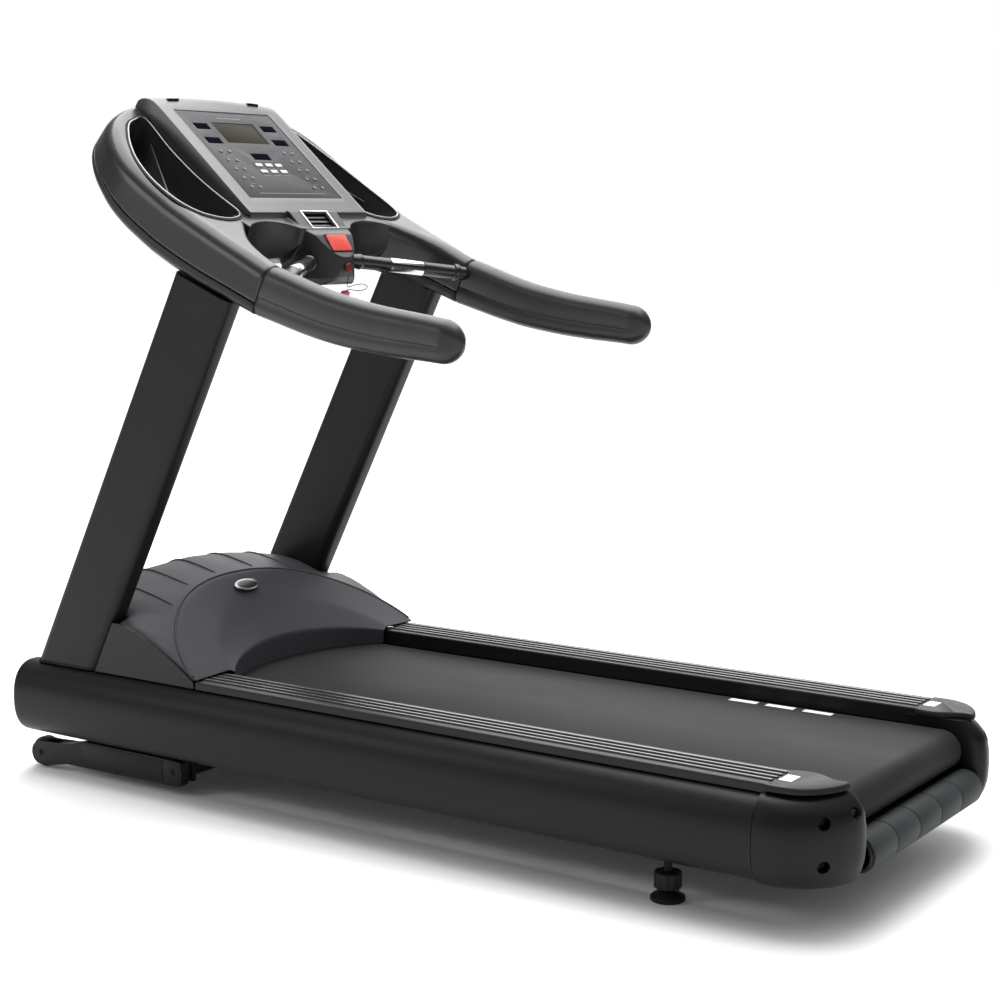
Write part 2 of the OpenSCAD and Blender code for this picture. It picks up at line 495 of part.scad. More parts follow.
// ---- cord ----
lan = [[0, 334, 1223], [0, 336, 1214], [0, 340, 1200], [1, 338, 1192], [4, 322, 1197], [7, 300, 1200], [8, 286, 1195],
  [5, 292, 1187], [2, 310, 1184], [0, 328, 1186], [-1, 341, 1185], [-1, 346, 1179], [-1, 348, 1175]];
function cr(p0, p1, p2, p3, t) = 0.5 * (2 * p1 + (p2 - p0) * t + (2 * p0 - 5 * p1 + 4 * p2 - p3) * t * t + (3 * p1 - p0 - 3 * p2 + p3) * t * t * t);
function route(P) = concat([for (i = [0 : len(P) - 2]) for (t = [0, 0.34, 0.67]) cr(P[max(0, i - 1)], P[i], P[i + 1], P[min(len(P) - 1, i + 2)], t)], [P[len(P) - 1]]);
function unit(v) = v / norm(v);
module tube(P, r) {
  R = route(P);
  m = len(R);
  loft([for (i = [0 : m - 1]) let(d = unit(R[min(m - 1, i + 1)] - R[max(0, i - 1)]), a = unit(cross(d, [1, 0, 0.05])), b = cross(d, a))
    [for (t = [0 : 45 : 315]) R[i] + r * (a * cos(t) + b * sin(t))]]);
}
module lanyard() color([0.05, 0.05, 0.05]) place() tube(lan, 1);
module lanyard_clip() color([0.75, 0.2, 0.3]) place() translate([-1, 348, 1166]) rotate([25, 0, 0]) union() {
  block(-5, 5, -9, 9, -22, 5);
  translate([-5, 0, 5]) rotate([0, 90, 0]) cylinder(r = 9, h = 10);
  translate([-7, 0, -14]) rotate([0, 90, 0]) cylinder(r = 3, h = 14);
}

// ---- grips and pulse bars ----
grip_st = [[-228, 1149, 8, 351, 409, 94], [-180, 1156, 8, 351, 409, 97], [-134, 1162, 9, 350, 410, 100], [-60, 1172, 9, 350, 410, 103],
  [0, 1183, 11, 349, 411, 106], [60, 1196, 14, 348, 411, 109], [120, 1213, 17, 348, 411, 112], [175, 1231, 21, 347, 411, 115], [233, 1249.6, 24, 347, 411, 118]];
function grip_tip(d) = let(q = sqrt(1 - pow(d / 46, 2)), c = 380, h = 94 * q, w = 29 * q)
  [-228 - d * 0.97, 1149 - (94 - h) / 2 - d * 0.14, 8, c - w, c + w, h];
function grip_ring(s) = let(r = min(26, (s[4] - s[3]) / 2 - 0.5, s[5] / 2 - 0.5)) ring(s, rrect(s[3], s[4], -s[5], 0, r, r));
module grip() color([0.13, 0.13, 0.13]) place() difference() {
  loft([for (s = concat([for (d = [45.2, 43, 39, 33, 25, 15]) grip_tip(d)], grip_st)) grip_ring(s)]);
  bar_socket();
}
module grips() both() grip();

bar_a = [78, 388, 1252];
bar_b = [352, 244, 1217];
bar_l = norm(bar_b - bar_a);
module barf() translate(bar_a) rotate([0, 0, atan2(bar_b[1] - bar_a[1], bar_b[0] - bar_a[0])])
  rotate([0, 90 + asin((bar_a[2] - bar_b[2]) / bar_l), 0]) children();
module bar_socket() barf() {
  translate([0, 0, bar_l - 60]) cylinder(r = pulse_r + 0.25, h = 60);
  translate([0, 0, bar_l - 36.3]) cylinder(r = pulse_r + 4.3, h = 12.6);
}
module pulse_bars() color([0.1, 0.1, 0.1]) place() both() barf() difference() {
  union() {
    cylinder(r = pulse_r, h = bar_l - 6);
    translate([0, 0, bar_l - 36]) cylinder(r = pulse_r + 4, h = 12);
    translate([0, 0, 14]) cylinder(r = pulse_r + 2, h = 8);
  }
  translate([0, 0, 100]) difference() { cylinder(r = pulse_r + 1, h = 90); translate([0, 0, -1]) cylinder(r = pulse_r - 1, h = 92); }
}
module pulse_electrodes() color([0.8, 0.8, 0.82]) place() both() barf() translate([0, 0, 100.3]) difference() {
  cylinder(r = pulse_r + 0.8, h = 89.4);
  translate([0, 0, -1]) cylinder(r = pulse_r - 0.9, h = 92);
  for (s = [-1, 1]) translate([-3, s * 14 - 8, -1]) cube([6, 16, 92]);
}

// ---- lift ----
function lift_z(y, t) = t;
module lift_frame() color([0.14, 0.14, 0.15]) place() difference() {
  union() {
    both() xext(368, 394) union() {
      translate(pivot) circle(r = 31);
      polygon([[570, 25], [570, 87], [862, 87], [955, 66], [955, 22], [870, 22]]);
    }
    both() xext(386, 394) union() {
      polygon([[930, 20], [930, 69], [990, 66], [1016, 66], [1016, 8], [985, 10]]);
      translate(axle) circle(r = 29);
    }
    both() xext(346, 352) union() {
      polygon([[930, 20], [930, 69], [990, 66], [1016, 66], [1016, 8], [985, 10]]);
      translate(axle) circle(r = 29);
    }
    both() block(346, 394, 930, 966, 24, 66);
    cylx(20, -369, 369, pivot[0], pivot[1]);
    block(-369, 369, 690, 730, 34, 74);
    for (x = [-22, 14]) xext(x, x + 8) union() {
      polygon([[551, 60], [589, 60], [560, 136], [538, 136]]);
      translate([549.3, 133.3]) circle(r = 13);
    }
    cylx(6, -20, 20, 549.3, 133.3);
  }
  both() cylx(6.05, 340, 400, axle[0], axle[1]);
  cylx(16, -366, 366, pivot[0], pivot[1]);
  block(-366, 366, 693, 727, 37, 71);
}
module wheel() color([0.05, 0.05, 0.05]) place() union() {
  cylx(wheel_r, 354.5, 383.5, axle[0], axle[1]);
  cylx(10, 352.6, 385.4, axle[0], axle[1]);
  cylx(6, 345, 396, axle[0], axle[1]);
}
module wheel_right() wheel();
module wheel_left() mirror([1, 0, 0]) wheel();
module lift_motor() color([0.22, 0.22, 0.24]) place() difference() {
  union() {
    block(-34, 34, 760, 826, 104, 168);
    cylx(30, 34, 150, 794, 136);
    translate([0, 762, 136]) rotate([90, 0, 0]) cylinder(r = 24, h = 70);
    block(-20, 20, 820, 980, 120, 150);
  }
  translate([0, 840, 136]) rotate([90, 0, 0]) cylinder(r = 12.1, h = 200);
}
module lift_rod() color([0.65, 0.65, 0.67]) place() difference() {
  union() {
    translate([0, 765, 136]) rotate([90, 0, 0]) cylinder(r = 12, h = 204);
    xext(-12, 12) translate([549.3, 135.2]) circle(r = 19);
  }
  cylx(12, -20, 20, 549.3, 134.4);
}
module level_foot() color([0.1, 0.1, 0.1]) place() translate([355, -752, 0]) union() {
  cylinder(r = foot_r, h = 9);
  translate([0, 0, 9]) cylinder(r1 = foot_r, r2 = 18, h = 10);
  cylinder(r = 7.97, h = 128);
  translate([0, 0, 26]) difference() {
    cylinder(r = 29, h = 34);
    for (a = [0 : 36 : 324]) rotate([0, 0, a]) translate([31, 0, -1]) cylinder(r = 4.5, h = 36);
  }
}
module foot_right() level_foot();
module foot_left() mirror([1, 0, 0]) level_foot();

base_frame();
side_beams();
front_cover();
deck();
deck_cushions();
running_belt();
front_roller();
rear_roller();
roller_axles();
roller_pulley();
drive_belt();
drive_motor();
motor_rotor();
control_box();
power_inlet();
power_switch();
foot_rails();
end_caps();
cap_lids();
cap_screws();
guard_tube();
guard_sleeves();
motor_hood();
hood_panels();
hood_badge();
uprights();
console_lower();
console_upper();
console_box();
face_panel();
display_windows();
keypad();
key_1();
key_2();
key_3();
key_4();
key_5();
key_6();
bin_liners();
bin_rims();
pod();
vent_frame();
louver_1();
louver_2();
louver_3();
fan_wheel();
stop_button();
safety_key();
lanyard();
lanyard_clip();
grips();
pulse_bars();
pulse_electrodes();
lift_frame();
wheel_left();
wheel_right();
lift_motor();
lift_rod();
foot_left();
foot_right();
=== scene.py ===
import bpy
import bmesh
import math
from mathutils import Vector, Matrix


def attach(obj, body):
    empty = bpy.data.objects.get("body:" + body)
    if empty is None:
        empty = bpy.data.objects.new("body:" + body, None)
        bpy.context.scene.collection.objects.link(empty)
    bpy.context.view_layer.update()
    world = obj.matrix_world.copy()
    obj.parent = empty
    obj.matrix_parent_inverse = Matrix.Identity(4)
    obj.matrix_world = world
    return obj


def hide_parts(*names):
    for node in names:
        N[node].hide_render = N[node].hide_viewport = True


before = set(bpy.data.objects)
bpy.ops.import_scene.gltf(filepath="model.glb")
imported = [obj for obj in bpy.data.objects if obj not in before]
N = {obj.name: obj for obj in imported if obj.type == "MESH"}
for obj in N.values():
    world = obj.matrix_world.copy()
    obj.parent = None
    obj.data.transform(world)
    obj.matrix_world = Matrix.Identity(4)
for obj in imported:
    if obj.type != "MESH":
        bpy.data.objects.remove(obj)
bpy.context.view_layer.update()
YS = 55.0
MM = 0.001


# ------------------------------------------------------------------ helpers
def W(p):
    return (p[0] * MM, (p[1] + YS) * MM, p[2] * MM)


def sgn(v):
    return -1.0 if v < 0 else 1.0


def spow(v, e):
    return sgn(v) * abs(v) ** e


def lookup(t, tab):
    if t <= tab[0][0]:
        return tab[0][1]
    for a, b in zip(tab, tab[1:]):
        if t <= b[0]:
            f = (t - a[0]) / (b[0] - a[0])
            return a[1] + f * (b[1] - a[1])
    return tab[-1][1]


def crom(a, b, c, d, t):
    return 0.5 * (2 * b + (c - a) * t + (2 * a - 5 * b + 4 * c - d) * t * t + (3 * b - a - 3 * c + d) * t ** 3)


def refine(rows, n):
    """Catmull-Rom between rows of numbers."""
    out = []
    for i in range(len(rows) - 1):
        a, b = rows[max(i - 1, 0)], rows[i]
        c, d = rows[i + 1], rows[min(i + 2, len(rows) - 1)]
        for k in range(n):
            t = k / n
            out.append([crom(a[j], b[j], c[j], d[j], t) for j in range(len(b))])
    out.append(list(rows[-1]))
    return out


def refine_closed(pts, n):
    m = len(pts)
    out = []
    for i in range(m):
        a, b, c, d = pts[(i - 1) % m], pts[i], pts[(i + 1) % m], pts[(i + 2) % m]
        for k in range(n):
            out.append([crom(a[j], b[j], c[j], d[j], k / n) for j in range(len(b))])
    return out


def smoothstep(v):
    v = max(0.0, min(1.0, v))
    return v * v * (3 - 2 * v)


def obj_from(name, verts, faces, smooth=True):
    me = bpy.data.meshes.new(name)
    me.from_pydata([W(v) for v in verts], [], faces)
    me.update()
    bm = bmesh.new()
    bm.from_mesh(me)
    bmesh.ops.remove_doubles(bm, verts=bm.verts, dist=1e-6)
    bmesh.ops.recalc_face_normals(bm, faces=bm.faces)
    bm.to_mesh(me)
    bm.free()
    o = bpy.data.objects.new(name, me)
    bpy.context.scene.collection.objects.link(o)
    for p in me.polygons:
        p.use_smooth = smooth
    return o


def apply_mods(o):
    bpy.context.view_layer.update()
    dg = bpy.context.evaluated_depsgraph_get()
    me = bpy.data.meshes.new_from_object(o.evaluated_get(dg))
    old = o.data
    o.modifiers.clear()
    o.data = me
    me.name = o.name
    if old.users == 0:
        bpy.data.meshes.remove(old)
    return o


def flat_shade(o, angle=35):
    """Smooth shading with hard edges above an angle."""
    me = o.data
    bm = bmesh.new()
    bm.from_mesh(me)
    lim = math.radians(angle)
    for f in bm.faces:
        f.smooth = True
    for e in bm.edges:
        e.smooth = not (len(e.link_faces) != 2 or e.calc_face_angle(0.0) > lim)
    bm.to_mesh(me)
    bm.free()
    return o


def bevel(o, width, segs=3, angle=30, harden=True):
    m = o.modifiers.new("b", "BEVEL")
    m.width = width * MM
    m.segments = segs
    m.limit_method = "ANGLE"
    m.angle_limit = math.radians(angle)
    m.harden_normals = False
    apply_mods(o)
    flat_shade(o, 40)
    return o


def remesh(o, voxel, smooth=10, factor=0.5):
    m = o.modifiers.new("r", "REMESH")
    m.mode = "VOXEL"
    m.voxel_size = voxel * MM
    m.adaptivity = 0.0
    m.use_smooth_shade = True
    apply_mods(o)
    if smooth:
        s = o.modifiers.new("s", "SMOOTH")
        s.factor = factor
        s.iterations = smooth
        apply_mods(o)
    for p in o.data.polygons:
        p.use_smooth = True
    return o


def boolean(o, cutter, op="DIFFERENCE", keep=False):
    m = o.modifiers.new("c", "BOOLEAN")
    m.operation = op
    m.solver = "EXACT"
    m.use_self = True
    m.object = cutter
    apply_mods(o)
    if not keep:
        bpy.data.objects.remove(cutter)
    return o


def join(name, objs):
    bm = bmesh.new()
    for o in objs:
        bm.from_mesh(o.data)
    me = bpy.data.meshes.new(name)
    bm.to_mesh(me)
    bm.free()
    for o in objs:
        bpy.data.objects.remove(o)
    r = bpy.data.objects.new(name, me)
    bpy.context.scene.collection.objects.link(r)
    return r


def mirrored(o, name):
    me = o.data.copy()
    me.name = name
    for v in me.vertices:
        v.co.x = -v.co.x
    me.flip_normals()
    r = bpy.data.objects.new(name, me)
    bpy.context.scene.collection.objects.link(r)
    return r


def both(o, name):
    m = mirrored(o, name + "_m")
    return join(name, [o, m])


def loft(name, secs, cap=True, closed=True, smooth=True):
    n = len(secs[0])
    verts = [p for s in secs for p in s]
    faces = []
    for i in range(len(secs) - 1):
        for j in range(n if closed else n - 1):
            k = (j + 1) % n
            faces.append((i * n + j, i * n + k, (i + 1) * n + k, (i + 1) * n + j))
    if cap:
        faces.append(tuple(range(n - 1, -1, -1)))
        faces.append(tuple((len(secs) - 1) * n + j for j in range(n)))
    return obj_from(name, verts, faces, smooth)


def box(name, x0, x1, y0, y1, z0, z1):
    v = [(x, y, z) for x in (x0, x1) for y in (y0, y1) for z in (z0, z1)]
    f = [(0, 1, 3, 2), (4, 6, 7, 5), (0, 4, 5, 1), (2, 3, 7, 6), (0, 2, 6, 4), (1, 5, 7, 3)]
    return obj_from(name, v, f, False)


def frame_box(name, to, x0, x1, y0, y1, z0, z1):
    v = [to((x, y, z)) for x in (x0, x1) for y in (y0, y1) for z in (z0, z1)]
    f = [(0, 1, 3, 2), (4, 6, 7, 5), (0, 4, 5, 1), (2, 3, 7, 6), (0, 2, 6, 4), (1, 5, 7, 3)]
    return obj_from(name, v, f, False)


def prism_x(name, x0, x1, pts, nx=1):
    xs = [x0 + (x1 - x0) * i / nx for i in range(nx + 1)]
    return loft(name, [[(x, p[0], p[1]) for p in pts] for x in xs], smooth=False)


def frames_along(P):
    """Parallel-transport frames along a polyline."""
    P = [Vector(p) for p in P]
    T = []
    for i in range(len(P)):
        a = P[max(i - 1, 0)]
        b = P[min(i + 1, len(P) - 1)]
        T.append((b - a).normalized())
    up = Vector((0, 0, 1)) if abs(T[0].z) < 0.9 else Vector((1, 0, 0))
    A = (up - T[0] * up.dot(T[0])).normalized()
    out = []
    for t in T:
        A = (A - t * A.dot(t)).normalized()
        out.append((A.copy(), t.cross(A)))
    return P, out


def tube(name, pts, r, sides=12, closed=False, rs=None, prof=None):
    P, F = frames_along(pts)
    secs = []
    for i, (p, (a, b)) in enumerate(zip(P, F)):
        rr = rs[i] if rs else r
        secs.append([tuple(p + a * (rr * math.cos(2 * math.pi * k / sides)) + b * (rr * math.sin(2 * math.pi * k / sides))) for k in range(sides)])
    if closed:
        n = sides
        verts = [q for s in secs for q in s]
        faces = []
        m = len(secs)
        for i in range(m):
            for j in range(n):
                k = (j + 1) % n
                faces.append((i * n + j, i * n + k, ((i + 1) % m) * n + k, ((i + 1) % m) * n + j))
        return obj_from(name, verts, faces)
    return loft(name, secs)


def lathe(name, prof, origin, axis, sides=48, closed=True):
    """Revolve (r, h) pairs about an axis through origin."""
    ax = Vector(axis).normalized()
    u = ax.orthogonal().normalized()
    v = ax.cross(u)
    o = Vector(origin)
    verts, faces = [], []
    n = len(prof)
    for k in range(sides):
        c, s = math.cos(2 * math.pi * k / sides), math.sin(2 * math.pi * k / sides)
        for r, h in prof:
            verts.append(tuple(o + ax * h + (u * c + v * s) * max(r, 0.0)))
    for k in range(sides):
        k2 = (k + 1) % sides
        for j in range(n - 1):
            faces.append((k * n + j, k2 * n + j, k2 * n + j + 1, k * n + j + 1))
    return flat_shade(obj_from(name, verts, faces), 32)


# ------------------------------------------------------------------ materials
def nodes_of(name):
    m = bpy.data.materials.new(name)
    m.use_nodes = True
    nt = m.node_tree
    for n in list(nt.nodes):
        if n.type not in ("BSDF_PRINCIPLED", "OUTPUT_MATERIAL"):
            nt.nodes.remove(n)
    return m, nt, [n for n in nt.nodes if n.type == "BSDF_PRINCIPLED"][0]


def noise(nt, scale, detail=4.0, stretch=(1, 1, 1), rough=0.55, w=0.0):
    tc = nt.nodes.new("ShaderNodeTexCoord")
    mp = nt.nodes.new("ShaderNodeMapping")
    mp.inputs["Scale"].default_value = stretch
    mp.inputs["Location"].default_value = (w, w * 0.7, w * 1.3)
    nz = nt.nodes.new("ShaderNodeTexNoise")
    nz.inputs["Scale"].default_value = scale
    nz.inputs["Detail"].default_value = detail
    nz.inputs["Roughness"].default_value = rough
    nt.links.new(tc.outputs["Object"], mp.inputs["Vector"])
    nt.links.new(mp.outputs["Vector"], nz.inputs["Vector"])
    return nz.outputs["Fac"]


def ramp(nt, src, stops):
    r = nt.nodes.new("ShaderNodeValToRGB")
    els = r.color_ramp.elements
    while len(els) < len(stops):
        els.new(0.5)
    for e, (p, c) in zip(els, stops):
        e.position = p
        e.color = (c[0], c[1], c[2], 1)
    nt.links.new(src, r.inputs["Fac"])
    return r.outputs["Color"]


def maprange(nt, src, a, b, c, d):
    m = nt.nodes.new("ShaderNodeMapRange")
    m.inputs["From Min"].default_value = a
    m.inputs["From Max"].default_value = b
    m.inputs["To Min"].default_value = c
    m.inputs["To Max"].default_value = d
    nt.links.new(src, m.inputs["Value"])
    return m.outputs["Result"]


def add(nt, a, b, op="ADD"):
    m = nt.nodes.new("ShaderNodeMath")
    m.operation = op
    for i, v in enumerate((a, b)):
        if isinstance(v, (int, float)):
            m.inputs[i].default_value = v
        else:
            nt.links.new(v, m.inputs[i])
    return m.outputs[0]


def surface(name, col, rough=0.45, metal=0.0, grain=900, bump=0.12, dist=0.0004, var=0.10, rvar=0.08,
            stretch=(1, 1, 1), coat=0.0, spec=0.5, scuff=0.0, wear=None, big=9):
    """Moulded, painted or metal surface: fine grain in the bump, slow colour and roughness drift, and faint scuffs."""
    m, nt, b = nodes_of(name)
    fine = noise(nt, grain, 3.0, stretch)
    slow = noise(nt, big, 5.0, (1, 1, 1), 0.6, 3.1)
    mid = noise(nt, 70, 4.0, (1, 1, 1), 0.6, 7.7)
    c0 = [max(0.0, c * (1 - var)) for c in col]
    c1 = [min(1.0, c * (1 + var)) for c in col]
    tone = add(nt, add(nt, slow, 0.7, "MULTIPLY"), add(nt, mid, 0.3, "MULTIPLY"))
    colr = ramp(nt, tone, [(0.32, c0), (0.5, col), (0.68, c1)])
    if wear:
        sc = noise(nt, 26, 8.0, (1, 1, 1), 0.7, 11.3)
        fac = maprange(nt, sc, 0.60, 0.74, 0.0, 1.0)
        mix = nt.nodes.new("ShaderNodeMix")
        mix.data_type = "RGBA"
        nt.links.new(add(nt, fac, 0.5, "MULTIPLY"), mix.inputs["Factor"])
        nt.links.new(colr, mix.inputs["A"])
        mix.inputs["B"].default_value = (wear[0], wear[1], wear[2], 1)
        colr = mix.outputs["Result"]
    nt.links.new(colr, b.inputs["Base Color"])
    rr = maprange(nt, add(nt, mid, fine, "ADD"), 0.6, 1.4, max(0.03, rough - rvar), min(1.0, rough + rvar))
    if scuff:
        s = noise(nt, 40, 6.0, (1, 0.12, 1), 0.7, 5.0)
        rr = add(nt, rr, maprange(nt, s, 0.58, 0.75, 0.0, scuff), "ADD")
    nt.links.new(rr, b.inputs["Roughness"])
    b.inputs["Metallic"].default_value = metal
    b.inputs["Specular IOR Level"].default_value = spec
    if coat:
        b.inputs["Coat Weight"].default_value = coat
        b.inputs["Coat Roughness"].default_value = 0.12
    bp = nt.nodes.new("ShaderNodeBump")
    bp.inputs["Strength"].default_value = bump
    bp.inputs["Distance"].default_value = dist
    nt.links.new(fine, bp.inputs["Height"])
    nt.links.new(bp.outputs["Normal"], b.inputs["Normal"])
    return m


def belt_material():
    m, nt, b = nodes_of("belt_weave")
    tc = nt.nodes.new("ShaderNodeTexCoord")
    h = None
    for rot, per in ((0.785, 620), (-0.785, 620)):
        mp = nt.nodes.new("ShaderNodeMapping")
        mp.inputs["Rotation"].default_value = (0, 0, rot)
        nt.links.new(tc.outputs["Object"], mp.inputs["Vector"])
        wv = nt.nodes.new("ShaderNodeTexWave")
        wv.inputs["Scale"].default_value = per / 6.28
        wv.inputs["Distortion"].default_value = 0.6
        wv.inputs["Detail"].default_value = 1.0
        nt.links.new(mp.outputs["Vector"], wv.inputs["Vector"])
        h = wv.outputs["Fac"] if h is None else add(nt, h, wv.outputs["Fac"], "MULTIPLY")
    fine = noise(nt, 1500, 2.0)
    slow = noise(nt, 5, 5.0, (1, 0.35, 1), 0.6, 2.0)
    tone = add(nt, add(nt, slow, 0.8, "MULTIPLY"), add(nt, h, 0.2, "MULTIPLY"))
    nt.links.new(ramp(nt, tone, [(0.3, (0.020, 0.0188, 0.020)), (0.5, (0.025, 0.0235, 0.025)), (0.72, (0.032, 0.030, 0.032))]), b.inputs["Base Color"])
    nt.links.new(maprange(nt, slow, 0.3, 0.7, 0.56, 0.7), b.inputs["Roughness"])
    bp = nt.nodes.new("ShaderNodeBump")
    bp.inputs["Strength"].default_value = 0.35
    bp.inputs["Distance"].default_value = 0.0005
    nt.links.new(add(nt, h, add(nt, fine, 0.4, "MULTIPLY")), bp.inputs["Height"])
    nt.links.new(bp.outputs["Normal"], b.inputs["Normal"])
    b.inputs["Specular IOR Level"].default_value = 0.10
    return m


def wood_material():
    m, nt, b = nodes_of("deck_board")
    g = noise(nt, 30, 8.0, (8, 0.6, 8), 0.65)
    nt.links.new(ramp(nt, g, [(0.3, (0.14, 0.09, 0.05)), (0.55, (0.24, 0.16, 0.09)), (0.75, (0.31, 0.21, 0.13))]), b.inputs["Base Color"])
    nt.links.new(maprange(nt, g, 0.3, 0.7, 0.45, 0.65), b.inputs["Roughness"])
    bp = nt.nodes.new("ShaderNodeBump")
    bp.inputs["Strength"].default_value = 0.2
    bp.inputs["Distance"].default_value = 0.0006
    nt.links.new(g, bp.inputs["Height"])
    nt.links.new(bp.outputs["Normal"], b.inputs["Normal"])
    return m


def brushed(name, col, rough=0.3, stretch=(1, 60, 60), grain=160, bump=0.12):
    m, nt, b = nodes_of(name)
    g = noise(nt, grain, 3.0, stretch)
    slow = noise(nt, 14, 4.0, (1, 1, 1), 0.6, 4.0)
    c0 = [c * 0.86 for c in col]
    nt.links.new(ramp(nt, add(nt, add(nt, g, 0.5, "MULTIPLY"), add(nt, slow, 0.5, "MULTIPLY")), [(0.35, c0), (0.65, col)]), b.inputs["Base Color"])
    nt.links.new(maprange(nt, g, 0.3, 0.7, rough * 0.75, rough * 1.3), b.inputs["Roughness"])
    b.inputs["Metallic"].default_value = 1.0
    bp = nt.nodes.new("ShaderNodeBump")
    bp.inputs["Strength"].default_value = bump
    bp.inputs["Distance"].default_value = 0.0002
    nt.links.new(g, bp.inputs["Height"])
    nt.links.new(bp.outputs["Normal"], b.inputs["Normal"])
    return m


def window_material():
    m, nt, b = nodes_of("tinted_window")
    g = noise(nt, 8, 3.0, (1, 1, 1), 0.5, 1.0)
    nt.links.new(ramp(nt, g, [(0.3, (0.020, 0.018, 0.012)), (0.7, (0.027, 0.025, 0.017))]), b.inputs["Base Color"])
    nt.links.new(maprange(nt, noise(nt, 200, 3.0), 0.3, 0.7, 0.36, 0.44), b.inputs["Roughness"])
    b.inputs["Specular IOR Level"].default_value = 0.02
    bp = nt.nodes.new("ShaderNodeBump")
    bp.inputs["Strength"].default_value = 0.02
    bp.inputs["Distance"].default_value = 0.0002
    nt.links.new(noise(nt, 400, 2.0), bp.inputs["Height"])
    nt.links.new(bp.outputs["Normal"], b.inputs["Normal"])
    return m


